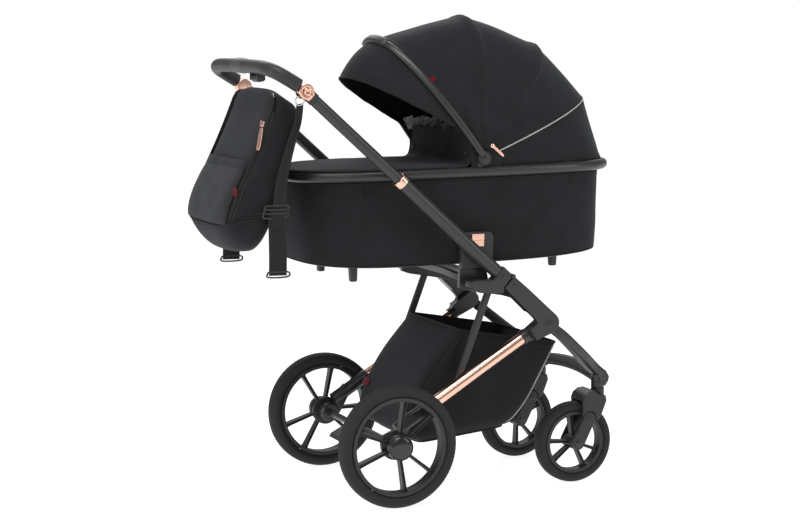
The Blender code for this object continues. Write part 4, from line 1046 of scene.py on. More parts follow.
def add_tub_feet():
    for side, sx in (("head", 0.4650), ("toe", -0.0600)):
        for label, s in SIDES:
            foot = Shape()
            bottom = 0.5290 if sx > 0 else 0.5230
            rings = []
            for z, w in ((bottom, 0.0066), (bottom + 0.0006, 0.0078), (bottom + 0.0030, 0.0088),
                         (0.5500, 0.0098), (0.5600, 0.0104)):
                pairs = [super_pair(turn, 4.0) for turn in turns(40)]
                rings.append([sloped(sx + w * x, s * 0.110 + w * y, z) for x, y in pairs])
            foot.skin(rings)
            make(f"cot_foot_{side}_{label}", foot, "carrycot", PLASTIC)


def add_rim_tube():
    mid = 0.5 * (RIM_Z0 + RIM_Z1)
    rings = []
    for turn in turns(32):
        out = 0.0110 * math.cos(turn)
        rings.append(oval(COT_A - 0.0110 + out, COT_B - 0.0110 + out, mid + 0.0125 * math.sin(turn), 220))
    tube = Shape().skin(rings, caps=False, closed=True)
    base = RIM_Z1 - 0.0080
    post = [(0.2290, base), (0.2630, base), (0.2600, 0.8130), (0.2460, 0.8215), (0.2320, 0.8130)]
    for _, s in SIDES:
        tube.prism(post, s * 0.1830, s * 0.1893, 0.0018)
    make("cot_rim_tube", tube, "carrycot", FRAME_PAINT, ("cot_rim",), sharp=50.0)


def add_mattress():
    """Quilted pad: crowned between crossing sewn lines, sides pulled in at a piped edge."""
    pad = Shape()
    rows = [PAD_BASE, (0.3560, 0.1480, 0.5915), (0.3612, 0.1532, 0.5960), (0.3600, 0.1520, 0.6045),
            (0.3616, 0.1536, 0.6130), (0.3580, 0.1500, 0.6190), PAD_TOP]
    pad.skin([oval(*row) for row in smooth_rows(rows, 3)], caps=False)

    def quilted(f):
        ring = []
        for p in oval(PAD_TOP[0] * f, PAD_TOP[1] * f, PAD_TOP[2]):
            u, v = (p.x + p.y) / 0.055, (p.x - p.y) / 0.055
            puff = abs(math.sin(math.pi * u) * math.sin(math.pi * v)) ** 0.5
            ring.append(p + UP * (0.0012 * puff * min(1.0, 6.0 * (1.0 - f) + 0.1)))
        return ring

    pad.skin([quilted(f) for f in [1.0 - 0.04 * k for k in range(25)] + [0.0]], caps=False)
    pad.skin([[sloped(COT_X, 0.0, 0.5898)] * OVAL_COUNT, oval(*PAD_BASE)], caps=False)
    piece = make("mattress_pad", pad, "carrycot", MATTRESS, ("mattress",), sharp=70.0)


def add_apron():
    """Cover over the foot half that turns up into a wind flap, with an elastic hem."""
    start = COT_X - COT_A + 0.0095
    spine = [start, start + 0.004, start + 0.012, start + 0.030]
    spine += [start + 0.030 + (0.1500 - start - 0.030) * k / 22 for k in range(1, 23)]
    rings = []
    for x in spine:
        half = oval_half_width(x, COT_A - 0.0075, COT_B - 0.0085)
        rings.append(apron_row(x, RIM_Z1 + 0.0045, half, 0.0085 * min(1.0, (x - start + 0.006) / 0.10), 0.0))
    rise = [(0.1760, 0.7905, 0.1880, 0.0082), (0.1920, 0.7915, 0.1878, 0.0078),
            (0.2040, 0.7945, 0.1874, 0.0058), (0.2105, 0.8005, 0.1868, 0.0034),
            (0.2138, 0.8110, 0.1858, 0.0014), (0.2156, 0.8240, 0.1845, 0.0), (0.2168, 0.8380, 0.1828, 0.0),
            (0.2178, 0.8500, 0.1800, 0.0), (0.2186, 0.8580, 0.1760, 0.0), (0.2192, 0.8630, 0.1710, 0.0),
            (0.2196, 0.8655, 0.1640, 0.0), (0.2198, 0.8665, 0.1560, 0.0)]
    for x, z, half, crown in smooth_rows(rise, 3):
        rings.append(apron_row(x, z, half, crown, max(0.0, (z - 0.80) / 0.065)))
    cover = Shape().skin(rings, loop=False, caps=False)
    cover.ruffle(0.0020, (8.0, 1.0), (22.0, 0.5), (60.0, 0.16))
    piece = make("apron_cover", cover, "carrycot", [FABRIC, LINING], ("apron",), wall=-0.0022, levels=1)

    trim = Shape()
    flat, flap = rings[:len(spine)], rings[len(spine):]
    edge = [ring[0] for ring in reversed(flat)] + rings[0][1:-1] + [ring[-1] for ring in flat]
    gathered = []
    for i, p in enumerate(resample(edge, 0.004)):
        outward = Vector((0, math.copysign(0.0006, p.y), 0)) * math.cos(2.6 * i)
        gathered.append(p + UP * (0.0006 * math.sin(2.6 * i)) + outward)
    trim.sweep(gathered, (0.0036, 0.0026), 10)
    flap_edge = [ring[0] for ring in flap] + rings[-1][1:-1] + [ring[-1] for ring in reversed(flap)]
    trim.sweep(flap_edge, (0.0019, 0.0019), 8, (1, 0, 0))
    row = [p + Vector((-0.0028, 0, -0.0070)) for p in rings[-1][2:-2]]
    trim.stitches(row, (-1, 0, 0.1), mat=1)
    make("apron_hem", trim, "carrycot", [FABRIC, THREAD], sharp=70.0)
    snap = Shape()
    dome = [(0.0, 0.0), (0.0055, 0.0), (0.0055, 0.0012), (0.0040, 0.0024), (0.0, 0.0026)]
    for _, s in SIDES:
        snap.lathe(dome, sloped(0.2122, s * 0.1600, 0.8180), (-1, 0, 0.25), 32)
    make("flap_snaps", snap, "carrycot", PLASTIC)


def add_flap_wings():
    """Side cloths that close the gap between the wind flap and the hood's pivots."""
    for label, s in SIDES:
        rings = []
        for f in fractions(10):
            low, high = RIM_Z1 - 0.0040, 0.8600 - 0.0440 * f * f
            x = 0.2150 + 0.0760 * f
            bow = 0.1862 + 0.0014 * math.sin(math.pi * f)
            rings.append([sloped(x, s * bow, low + (high - low) * j / 10) for j in range(11)])
        wing = Shape().skin(rings, loop=False, caps=False)
        piece = make(f"flap_wing_{label}", wing, "carrycot", FABRIC, sharp=60.0, wall=-0.0018)


def apron_row(x, z, half, crown, upright):
    row = []
    for t in spread(1.0, APRON_COLUMNS):
        bow = 0.006 * upright * (1.0 - t * t)
        edge = 0.0030 * max(0.0, abs(t) - 0.93) / 0.07 * (1.0 - upright)
        row.append(sloped(x + bow, half * t, z + crown * (1.0 - t * t) - edge))
    return row


add_tub()
add_rim_tube()
add_mattress()
add_apron()
add_flap_wings()


# ---------------------------------------------------------------- hood
HOOD_PIVOT = D(PIVOT[0], 0.0, PIVOT[1])
# degrees round the pivot from forward, and up
BACK = -3.0
PIPING = 22.0
REAR_HOOP = 51.5
TOP_HOOP = 86.5
FRONT_EDGE = 125.0
BAR = 126.5
BAR_REACH = 0.3460
BAR_WIDTH = 0.1968
VISOR_EDGE = ((0.060, 129.5), (0.080, 132.5), (0.100, 136.0), (0.130, 139.2), (0.200, 142.9), (0.300, 144.9),
              (0.400, 145.8), (0.500, 146.2))
NEAR_PIVOT = 0.135     # closer than this, rows run on as straight strips
REACH_KNOTS = ((BACK, 0.3790, 0.0), (PIPING, 0.3680, 0.0), (REAR_HOOP, 0.3400, 0.0020),
               (TOP_HOOP, 0.3350, 0.0030), (FRONT_EDGE, 0.3400, 0.0035))
HOOD_COLUMNS = 112


def hood_reach(degrees):
    """Distance from the pivot to the taut cloth between two hoops."""
    for (a, ra, _), (b, rb, bulge) in zip(REACH_KNOTS, REACH_KNOTS[1:]):
        if degrees <= b:
            break
    f = min(1.0, max(0.0, (degrees - a) / (b - a)))
    whole = math.radians(b - a)
    chord = ra * rb * math.sin(whole) / (ra * math.sin(f * whole) + rb * math.sin((1.0 - f) * whole))
    return chord + bulge * math.sin(math.pi * f)


def hood_place(degrees, t, lift=0.0, reach=None, width=0.1900, power=2.2):
    """A place on the hood at an angle from forward, t from the right pivot over to the left one."""
    low = min(1.0, max(0.0, (PIPING - degrees) / (PIPING - BACK)))
    power += (3.0 - power) * low
    width -= 0.0020 * low
    reach = hood_reach(degrees) if reach is None else reach
    c, s = math.cos(math.pi * t), max(0.0, math.sin(math.pi * t))
    y = -math.copysign(abs(c) ** (2.0 / power), c) * width
    r = s ** (2.0 / power) * reach
    a = math.radians(degrees)
    radial = Vector((math.cos(a), 0.0, math.sin(a)))
    slope_y = math.copysign((abs(y) / width) ** (power - 1.0), y) / width
    slope_r = (r / reach) ** (power - 1.0) / reach
    normal = (radial * slope_r + Vector((0.0, slope_y, 0.0))).normalized()
    place = HOOD_PIVOT + radial * r + Vector((0.0, y, 0.0)) + normal * lift
    floor = rim_top(place.x - X0) + 0.0030
    if degrees < PIPING and place.z < floor:
        place.z = floor
    return place, normal, r


def column_ts(low, high, count=HOOD_COLUMNS):
    return [low + (high - low) * i / count for i in range(count + 1)]


RIDGE = ((-0.0170, 0.0), (-0.0135, 0.0006), (-0.0110, 0.0024), (-0.0085, 0.0030), (-0.0050, 0.0030),
         (-0.0041, 0.0019), (-0.0032, 0.0032), (0.0, 0.0036), (0.0032, 0.0032), (0.0041, 0.0019),
         (0.0050, 0.0030), (0.0085, 0.0030), (0.0110, 0.0024), (0.0135, 0.0006), (0.0170, 0.0))
WELT = ((-0.0080, 0.0), (-0.0030, -0.0006), (0.0, -0.0010), (0.0030, -0.0006), (0.0080, 0.0))
HEM = ((-0.0170, 0.0), (-0.0135, 0.0004), (-0.0110, 0.0022), (-0.0085, 0.0027), (-0.0040, 0.0027),
       (0.0, 0.0024))


def hood_rows():
    """Rows from the rim to the bar: (base angle, metres past it, other angle, metres, share, lift)."""
    rows = [(BACK, 0.0, BACK, 0.0, 0.0, 0.0)]
    for a, da, b, db, count, profile in (
            (BACK, 0.0, PIPING, -0.0080, 8, WELT),
            (PIPING, 0.0080, REAR_HOOP, -0.0170, 9, RIDGE),
            (REAR_HOOP, 0.0170, TOP_HOOP, -0.0170, 11, RIDGE),
            (TOP_HOOP, 0.0170, FRONT_EDGE, -0.0170, 12, HEM)):
        rows.extend((a, da, b, db, k / count, 0.0) for k in range(1, count))
        rows.extend((b, d, b, d, 0.0, lift) for d, lift in profile)
    return rows


def row_angle(row, r):
    a, da, b, db, share, _ = row
    r = max(r, NEAR_PIVOT)
    first = a + math.degrees(da / r)
    second = b + math.degrees(db / r)
    return first + (second - first) * share


def hood_sag(degrees, t, r):
    """Small folds that run from the pivots into the panels."""
    between = min(abs(degrees - knot) for knot in (BACK, PIPING, REAR_HOOP, TOP_HOOP, FRONT_EDGE))
    free = min(1.0, between / 9.0)
    side = math.exp(-((r - 0.12) / 0.10) ** 2)
    wave = math.sin(math.radians(degrees) * 14.0 + 9.0 * t) * 0.0012 * side
    drift = noise.noise(Vector((degrees * 0.06, t * 9.0, 2.0))) * 0.0022
    return free * (wave + drift)


def add_canopy():
    columns = column_ts(0.010, 0.990)
    foot = [hood_place(BACK, t)[0] for t in columns]
    rings = [[Vector((p.x, p.y, rim_top(p.x - X0) + 0.0004)) for p in foot]]
    for row in hood_rows():
        ring = []
        for t in columns:
            r = hood_place(min(row[0], row[2]), t)[2]
            degrees = row_angle(row, r)
            lift = row[-1] * min(1.0, r / 0.10) + hood_sag(degrees, t, r)
            ring.append(hood_place(degrees, t, lift)[0])
        rings.append(ring)
    canopy = Shape().skin(rings, loop=False, caps=False)
    piece = make("hood_cloth", canopy, None, [FABRIC, LINING_DARK, LINING], ("hood_canopy",), sharp=60.0,
                 wall=0.0018, inner=1)
    # the true flag puts a painted patch of light, the pale print, low on the hood's inner sides
    orient_inner(piece, True)
    fan_blend(piece)
    add_hood_seams()


def fan_blend(piece):
    """Bakes a hood piece's transform into its mesh."""
    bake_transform(piece)


def orient_inner(piece, paint_light_patch=False):
    """Lining on the faces that look towards the pivot, cloth on the others; when asked, the pale printed
    lining goes only on the low sides, as a painted patch of light, and the rest of the inside takes the black
    lining.
    """
    for face in piece.data.polygons:
        inner = face.normal.dot(face.center - HOOD_PIVOT) < 0.0
        # painted light: inner faces low at the sides take the pale print as a lit patch inside the hood
        low = face.center.z < HOOD_PIVOT.z + 0.0820 and abs(face.center.y) > 0.1200
        face.material_index = (2 if paint_light_patch and low else 1) if inner else 0


def hood_line(degrees, offset, low=0.045, high=0.955, lift=0.0):
    line = []
    for t in column_ts(low, high, 150):
        r = hood_place(degrees, t)[2]
        line.append(hood_place(degrees + math.degrees(offset / max(r, NEAR_PIVOT)), t, lift)[0])
    return line


def hood_out(place):
    return (place - Vector((HOOD_PIVOT.x, 0.0, HOOD_PIVOT.z - 0.02))).normalized()


def add_hood_seams():
    seams = Shape()
    for degrees in (REAR_HOOP, TOP_HOOP):
        for offset in (-0.0041, 0.0041):
            seams.stitches(hood_line(degrees, offset, 0.06, 0.94, 0.0024), hood_out, mat=1)
    seams.stitches(hood_line(FRONT_EDGE, -0.0060, 0.06, 0.94, 0.0028), hood_out, mat=1)
    seams.sweep(hood_line(PIPING, 0.0, 0.031, 0.969, 0.0002), (0.0017, 0.0017), 8, (0, 1, 0.3), mat=0)
    for offset in (-0.0046, 0.0046):
        seams.stitches(hood_line(PIPING, offset, 0.03, 0.97, 0.0002), hood_out, mat=1)
    piece = make("hood_seams", seams, None, [TRIM, THREAD], sharp=70.0)
    fan_blend(piece)


def visor_edge(t):
    t = min(t, 1.0 - t)
    for (a, da), (b, db) in zip(VISOR_EDGE, VISOR_EDGE[1:]):
        if t <= b:
            f = max(0.0, (t - a) / (b - a))
            return da + (db - da) * f
    return VISOR_EDGE[-1][1]


def add_visor():
    """The peak in front of the bar, with a folded hem and a bound edge."""
    rings = []
    columns = column_ts(0.060, 0.940)
    for f in (0.0, 0.06, 0.12, 0.2, 0.3, 0.42, 0.55, 0.68, 0.8, 0.89, 0.93, 0.965, 1.0):
        ring = []
        reach = 0.3440 - 0.0040 * f + 0.0035 * math.sin(math.pi * f)
        fold = 0.0007 if 0.90 < f < 0.95 else 0.0
        for t in columns:
            degrees = 127.0 + (visor_edge(t) - 127.0) * f
            wave = noise.noise(Vector((t * 14.0, f * 2.0, 7.0))) * 0.0018 * math.sin(math.pi * f)
            ring.append(hood_place(degrees, t, wave - fold, reach, 0.1915)[0])
        rings.append(ring)
    visor = Shape().skin(rings, loop=False, caps=False)
    piece = make("visor_cloth", visor, "hood_front", [FABRIC, LINING_DARK], ("hood_visor",), sharp=60.0,
                 wall=0.0022, inner=1)
    orient_inner(piece)
    edge = [hood_place(visor_edge(t), t, -0.0004, 0.3398, 0.1912)[0] for t in column_ts(0.060, 0.940, 180)]
    trim = Shape().sweep(edge, (0.0021, 0.0021), 10, (0.3, 0.0, 0.9))
    columns = column_ts(0.075, 0.925, 150)
    line = [hood_place(visor_edge(t) - 1.6, t, 0.0004, 0.3404, 0.1915)[0] for t in columns]
    trim.stitches(line, hood_out, mat=1)
    make("visor_binding", trim, "hood_front", [FABRIC, THREAD], sharp=70.0)


def bar_place(t):
    return hood_place(BAR, t, 0.0, BAR_REACH, BAR_WIDTH)[0]


def add_hood_bar():
    up = (0.8, 0.0, 0.6)
    path = [bar_place(t) for t in column_ts(0.006, 0.994, 140)]
    bar = Shape().sweep(path, (0.0068, 0.0088), 32, up, 2.4)
    grip = [bar_place(t) for t in column_ts(0.405, 0.595, 60)]
    sizes = []
    for i in range(len(grip)):
        end = min(i, len(grip) - 1 - i)
        groove = 0.0005 if end % 10 == 5 else 0.0
        swell = 0.0026 * min(1.0, end / 2.0)
        sizes.append((0.0068 + swell - groove, 0.0088 + swell - groove))
    bar.sweep(grip, sizes, 32, up, 3.0, mat=1)
    disc = [(0.0, 0.0), (0.0170, 0.0), (0.0170, 0.0052), (0.0160, 0.0066), (0.0146, 0.0072), (0.0140, 0.0066),
            (0.0130, 0.0074), (0.0080, 0.0088), (0.0, 0.0092)]
    for _, s in SIDES:
        bar.lathe(disc, HOOD_PIVOT + Vector((0.0, s * 0.1905, 0.0)), (0, s, 0), 64, mat=1)
    make("hood_bar_tube", bar, "hood_front", [FRAME_PAINT, PLASTIC], ("hood_bar",), sharp=40.0)
    p, n, _ = hood_place(FRONT_EDGE - 2.6, 0.215, 0.0034)
    along = (bar_place(0.215 + 0.01) - bar_place(0.215 - 0.01)).normalized()
    tag = Shape().slab(p, along * 0.0060, along.cross(n) * 0.0066, n * 0.0006, 0.0003)
    make("hood_red_tag", tag, "hood_front", RED)
    arc = [math.radians(d) for d in range(-75, 76, 15)]
    ball = [(0.0, -0.0022)] + [(0.0054 * math.cos(a), 0.0022 * math.sin(a)) for a in arc] + [(0.0, 0.0022)]
    sizes = [(0.0034, 0.0018)] * 11 + [(0.0029, 0.0015), (0.0017, 0.0009)]
    for label, s in SIDES:
        head, end = D(0.2610, s * 0.2060, 0.8370), D(0.2900, s * 0.2060, 0.8120)
        pull = Shape().lathe(ball, head, (0, 1, 0), 32)
        pull.sweep([head.lerp(end, f) for f in fractions(12)], sizes, 16, (0, 1, 0), 3.0)
        make(f"hood_pull_{label}", pull, "carrycot", ROSE)


add_canopy()
add_visor()
add_hood_bar()


# ---------------------------------------------------------------- changing bag
BAG_ROWS = (
    # height, rear face, front face, half width, power
    (0.5960, -0.3300, -0.2960, 0.0550, 2.2),
    (0.6020, -0.3540, -0.2840, 0.0980, 2.5),
    (0.6240, -0.3740, -0.2720, 0.1380, 3.0),
    (0.6600, -0.3880, -0.2640, 0.1620, 4.4),
    (0.6900, -0.3840, -0.2560, 0.1650, 5.4),
    (0.7600, -0.3540, -0.2350, 0.1660, 5.4),
    (0.8500, -0.3050, -0.2110, 0.1660, 5.4),
    (0.9150, -0.2740, -0.1990, 0.1670, 5.4),
    (0.9450, -0.2640, -0.1985, 0.1650, 5.0),
    (0.9640, -0.2580, -0.2030, 0.1530, 4.0),
    (0.9740, -0.2500, -0.2180, 0.1150, 3.0),
)
BAG_CURVE = smooth_rows(BAG_ROWS, 8)
POCKET_LOW, POCKET_TOP, POCKET_HALF = 0.6680, 0.8060, 0.1440
TOP_DROP = 0.0300     # how far the bag's top slopes down to the front


def bag_row(z):
    for low, high in zip(BAG_CURVE, BAG_CURVE[1:]):
        if z <= high[0]:
            break
    f = min(1.0, max(0.0, (z - low[0]) / max(1e-6, high[0] - low[0])))
    return tuple(a + (b - a) * f for a, b in zip(low, high))


def bag_place(z, turn, lift=0.0):
    """A place on the bag's side at a height and a turn, which is half way round (pi) at the rear face."""
    _, rear, front, half, power = bag_row(z)
    x, y = super_pair(turn, power)
    a, b = 0.5 * (front - rear), half
    lean_x = math.copysign(abs(x) ** (power - 1.0), x) / a
    lean_y = math.copysign(abs(y) ** (power - 1.0), y) / b
    normal = Vector((lean_x, lean_y, 0.0)).normalized()
    high = min(1.0, max(0.0, (z - 0.8900) / 0.0700))
    drop = TOP_DROP * high * high * (3.0 - 2.0 * high) * 0.5 * (1.0 + x)
    return D(0.5 * (rear + front) + a * x, b * y, z - drop) + normal * lift, normal


def bag_turn(z, y):
    """The turn at which the bag's rear face is y from the middle plane."""
    _, _, _, half, power = bag_row(z)
    share = min(0.999, abs(y) / half)
    angle = math.copysign(math.asin(share ** (0.5 * power)), y)
    return math.pi - angle


def bag_slack(p):
    """Soft folds: a broad sag, a few slanting creases, small puckers."""
    broad = noise.noise(p * 7.0) * 0.0035
    crease = noise.noise(Vector((p.x * 18.0 + p.z * 9.0, p.y * 16.0, p.z * 10.0))) * 0.0018
    return broad + crease + noise.noise(p * 70.0) * 0.0004


def bag_soft(z, turn, lift):
    """A place on the bag's folded cloth, lifted off it a little."""
    p, n = bag_place(z, turn)
    return p + n * (lift + bag_slack(p))


def bag_out(p):
    return Vector((p.x - D(-0.31, 0, 0).x, 0.35 * p.y, 0.0)).normalized()


def add_bag():
    shell = Shape().skin([[bag_place(row[0], turn)[0] for turn in turns(200)] for row in BAG_CURVE])
    for vert in shell.bm.verts:
        vert.co += bag_out(vert.co) * (bag_slack(vert.co) - 0.0012)
    make("bag_shell", shell, "bag", FABRIC, ("bag_body",), sharp=70.0)
    add_bag_pocket()
    add_bag_seams()
    add_bag_zip()
    add_bag_straps()


def add_bag_pocket():
    """A bellied pocket on the rear face and the sewn band along its top."""
    rings = []
    for f in fractions(24):
        z = POCKET_LOW + (POCKET_TOP - POCKET_LOW) * f
        ring = []
        for y in spread(POCKET_HALF, 48):
            edge = min(1.0, (POCKET_HALF - abs(y)) / 0.014) ** 0.5
            belly = 0.0080 * math.sin(math.pi * (0.04 + 0.86 * f)) * edge
            ring.append(bag_soft(z, bag_turn(z, y), 0.0006 + belly))
        rings.append(ring)
    pocket = Shape().skin(rings, loop=False, caps=False)
    # the pocket takes the lighter twill, its lightness a painted sheen
    make("bag_pocket", pocket, "bag", FABRIC_PAINTED_SHEEN, sharp=70.0, wall=-0.0016)

    rings = []
    ends = (0, 48)
    for dz, lift in ((-0.0130, 0.0044), (-0.0125, 0.0068), (0.0, 0.0074), (0.0060, 0.0070), (0.0066, 0.0040)):
        z = POCKET_TOP + dz
        rings.append([bag_soft(z, bag_turn(z, y), lift * (0.3 if i in ends else 1.0))
                      for i, y in enumerate(spread(POCKET_HALF + 0.004, 48))])
    band = Shape().skin(rings, loop=False, caps=False)
    z = POCKET_TOP - 0.0070
    line = [bag_soft(z, bag_turn(z, y), 0.0077) for y in spread(POCKET_HALF, 48)[3:46]]
    band.stitches(line, (-1, 0, 0.3), mat=1)
    make("bag_pocket_band", band, "bag", [FABRIC, THREAD], sharp=50.0)


def bag_girth(z, lift):
    """A line round the bag, lower at its rear face."""
    return [bag_soft(z + 0.0240 * math.cos(turn), turn, lift) for turn in turns(220)]


def add_bag_seams():
    seam = Shape().sweep(bag_girth(0.6850, 0.0001), (0.0014, 0.0014), 8, closed=True)
    for z in (0.6925, 0.6775):
        seam.stitches(bag_girth(z, 0.0004), bag_out, mat=1)
    make("bag_seams", seam, "bag", [FABRIC, THREAD], sharp=70.0)


def zip_route():
    """Up the near side by the rear edge, over the top and down the far side."""
    turns_up = ((0.6800, 240.0), (0.7400, 240.0), (0.7900, 239.0), (0.8400, 238.0), (0.8900, 236.0),
                (0.9300, 233.0), (0.9500, 228.0), (0.9630, 219.0))
    side = [bag_soft(z, math.radians(turn), 0.0008) for z, turn in turns_up]
    over = [D(-0.2400, -0.0980, 0.9640), D(-0.2380, -0.0500, 0.9640), D(-0.2370, 0.0, 0.9640)]
    half = side + over
    far = [Vector((p.x, -p.y, p.z)) for p in reversed(half[:-1])]
    return smooth_path(half + far, 10)


def zip_out(p):
    return Vector((p.x - D(-0.285, 0, 0).x, 0.55 * p.y, max(0.0, p.z - 0.945) * 6.0)).normalized()


def add_bag_zip():
    path = zip_route()
    half = [(-0.0075, -0.0006), (-0.0072, 0.0007), (-0.0020, 0.0004)]
    section = half + [(0.0, 0.0003)] + [(-a, h) for a, h in reversed(half)]
    rings = []
    for i, p in enumerate(path):
        along = (path[min(i + 1, len(path) - 1)] - path[max(i - 1, 0)]).normalized()
        out = zip_out(p)
        out = (out - along * out.dot(along)).normalized()
        across = along.cross(out)
        rings.append([p + across * a + out * h for a, h in section])
    tape = Shape().skin(rings)
    places = resample(path, 0.0030)
    for a, b in zip(places, places[1:]):
        along = (b - a).normalized()
        out = zip_out(a)
        across = along.cross(out).normalized()
        thick = across.cross(along) * 0.0007
        tape.slab(a + out * 0.0008, across * 0.0024, along * 0.0009, thick, 0.0, mat=1)
    make("bag_zip", tape, "bag", [WEBBING, GLOSS], sharp=40.0)
    pull = Shape()
    top, low = D(-0.2965, -0.1610, 0.8975), D(-0.3100, -0.1680, 0.8380)
    down = (low - top).normalized()
    side = Vector((0, 1, 0))
    pull.slab(top, down * 0.0065, side.cross(down) * 0.0044, side * 0.0022, 0.0012)
    tab = [top.lerp(low, k / 20) + Vector((0, -0.0026, 0)) for k in range(3, 21)]
    sizes = [(0.0030 + 0.0016 * min(1.0, k / 6.0), 0.0012) for k in range(15)]
    sizes += [(0.0044, 0.0012), (0.0036, 0.0010), (0.0018, 0.0008)]
    pull.sweep(tab, sizes, 20, (0, 1, 0), 3.4)
    make("bag_zip_pull", pull, "bag", ROSE)
    p, n = bag_place(0.7430, bag_turn(0.7430, -0.1500), 0.0066)
    tag = Shape().slab(p, Vector((0.35, -0.93, 0.05)) * 0.0060, UP * 0.0100, n * 0.0006, 0.0003)
    make("bag_red_tag", tag, "bag", RED)


def ribbon(shape, route, thick):
    """Flat webbing wide in X along a route of (x, y, z, half width)."""
    rings = []
    rows = smooth_rows(route, 8)
    t = 0.5 * thick
    for i, (x, y, z, half) in enumerate(rows):
        before, after = rows[max(i - 1, 0)], rows[min(i + 1, len(rows) - 1)]
        along = (D(*after[:3]) - D(*before[:3])).normalized()
        flat = (Vector((1, 0, 0)) - along * along.x).normalized()
        out = along.cross(flat).normalized()
        e = half - 0.0005
        section = ((-half, -0.5 * t), (-half, 0.5 * t), (-e, t), (e, t),
                   (half, 0.5 * t), (half, -0.5 * t), (e, -t), (-e, -t))
        rings.append([D(x, y, z) + flat * a + out * b for a, b in section])
    shape.skin(rings)


STRAP_PARTS = (
    # thickness, then rows of x, distance from the middle plane, z, half width
    (0.0040, ((-0.2190, 0.2010, 0.9420, 0.0080), (-0.2170, 0.1900, 0.9220, 0.0085),
              (-0.2180, 0.1790, 0.8950, 0.0090), (-0.2290, 0.1770, 0.8600, 0.0095),
              (-0.2440, 0.1764, 0.8100, 0.0115), (-0.2560, 0.1760, 0.7600, 0.0135),
              (-0.2610, 0.1758, 0.7050, 0.0165))),
    (0.0022, ((-0.2690, 0.1755, 0.7080, 0.0190), (-0.2680, 0.1756, 0.6800, 0.0200),
              (-0.2660, 0.1752, 0.6300, 0.0210), (-0.2650, 0.1748, 0.5900, 0.0215),
              (-0.2655, 0.1746, 0.5500, 0.0215))),
    (0.0016, ((-0.2660, 0.1772, 0.7020, 0.0150), (-0.2650, 0.1782, 0.6850, 0.0150),
              (-0.2640, 0.1780, 0.6560, 0.0150))),
)
SIDEWAYS = (0, 1, 0)


def add_bag_straps():
    for label, s in SIDES:
        strap = Shape()
        for thick, rows in STRAP_PARTS:
            ribbon(strap, [(x, s * y, z, half) for x, y, z, half in rows], thick)
        sewn = STRAP_PARTS[0][1][2:]
        for offset in (-0.0085, 0.0085):
            line = [D(x + offset * (half / 0.014), s * y + s * 0.0021, z) for x, y, z, half in sewn]
            strap.stitches(smooth_path(line, 6), (0, s, 0), 0.0050, 0.0034, 0.0004, mat=1)
        make(f"bag_strap_skin_{label}", strap, "bag", [WEBBING, THREAD], (f"bag_strap_{label}",), sharp=50.0)
        add_strap_buckles(label, s)
        eye = D(-0.2205, s * 0.2040, 0.9500)
        ring = []
        for turn in turns(48):
            c, up = 0.0105 * math.cos(turn), 0.0105 * math.sin(turn)
            ring.append(eye + Vector((c, 0.30 * s * up, up)))
        hook = Shape().sweep(ring, (0.0018, 0.0018), 12, SIDEWAYS, closed=True)
        make(f"bag_hook_loop_{label}", hook, "handle_upper", STEEL, sharp=50.0)


def add_strap_buckles(label, s):
    """A six-sided slider with two bars, and a square ring at the strap's end."""
    lean = 0.12
    centre = Vector((-0.2700, s * 0.1760, 0.6970))
    outline = [(-0.0260, 0.0135), (0.0260, 0.0135), (0.0280, 0.0), (0.0260, -0.0135), (-0.0260, -0.0135),
               (-0.0280, 0.0)]
    slider = [D(centre.x + a + b * lean, centre.y, centre.z + b) for a, b in outline]
    buckle = Shape()
    buckle.sweep(smooth_path(slider + slider[:1], 6)[:-1], (0.0022, 0.0030), 12, SIDEWAYS, 3.0, closed=True)
    for b in (-0.0045, 0.0050):
        bar = [D(centre.x + a + b * lean, centre.y + s * 0.0008, centre.z + b)
               for a in (-0.0255, 0.0, 0.0255)]
        buckle.sweep(bar, (0.0020, 0.0024), 12, SIDEWAYS, 3.0)
    square = ((-0.0235, 0.0060), (0.0235, 0.0060), (0.0235, -0.0052), (-0.0235, -0.0052))
    end = [D(-0.2655 + a, s * 0.1748, 0.5520 + b) for a, b in square]
    buckle.sweep(smooth_path(end + end[:1], 5)[:-1], (0.0020, 0.0024), 12, SIDEWAYS, 3.0, closed=True)
    make(f"bag_buckles_{label}", buckle, "bag", PLASTIC, sharp=40.0)


add_bag()


# ---------------------------------------------------------------- basket
BASKET_ROWS = (
    # rear x and z, front x and z, half width
    (0.1000, 0.1240, 0.3300, 0.1480, 0.1400),
    (0.0580, 0.1520, 0.3570, 0.1720, 0.1580),
    (0.0620, 0.2100, 0.3910, 0.2150, 0.1640),
    (0.1120, 0.3000, 0.4340, 0.2900, 0.1660),
    (0.1940, 0.3950, 0.4630, 0.3480, 0.1680),
)
BASKET_CURVE = smooth_rows(BASKET_ROWS, 10)
BASKET_MIDDLE = 0.215     # the x and z that the basket's floor closes towards
BASKET_POWER = 2.0 / 0.20
FOLDS = (
    # start (x, z), end (x, z), width, depth
    ((0.2100, 0.3790), (0.1880, 0.3470), 0.0050, 0.0050),
    ((0.1880, 0.3470), (0.1830, 0.2600), 0.0060, 0.0055),
    ((0.1850, 0.3300), (0.1100, 0.1900), 0.0080, 0.0030),
    ((0.1950, 0.3000), (0.2900, 0.1650), 0.0080, 0.0030),
    ((0.3300, 0.3600), (0.2300, 0.2300), 0.0090, 0.0025),
)


def fold_depth(x, z):
    total = 0.0
    for (ax, az), (bx, bz), wide, deep in FOLDS:
        ux, uz = bx - ax, bz - az
        length = ux * ux + uz * uz
        t = min(1.0, max(0.0, ((x - ax) * ux + (z - az) * uz) / length))
        away = math.hypot(x - ax - t * ux, z - az - t * uz)
        total += deep * math.exp(-(away / wide) ** 2) * (1.0 - 0.55 * t)
    return total


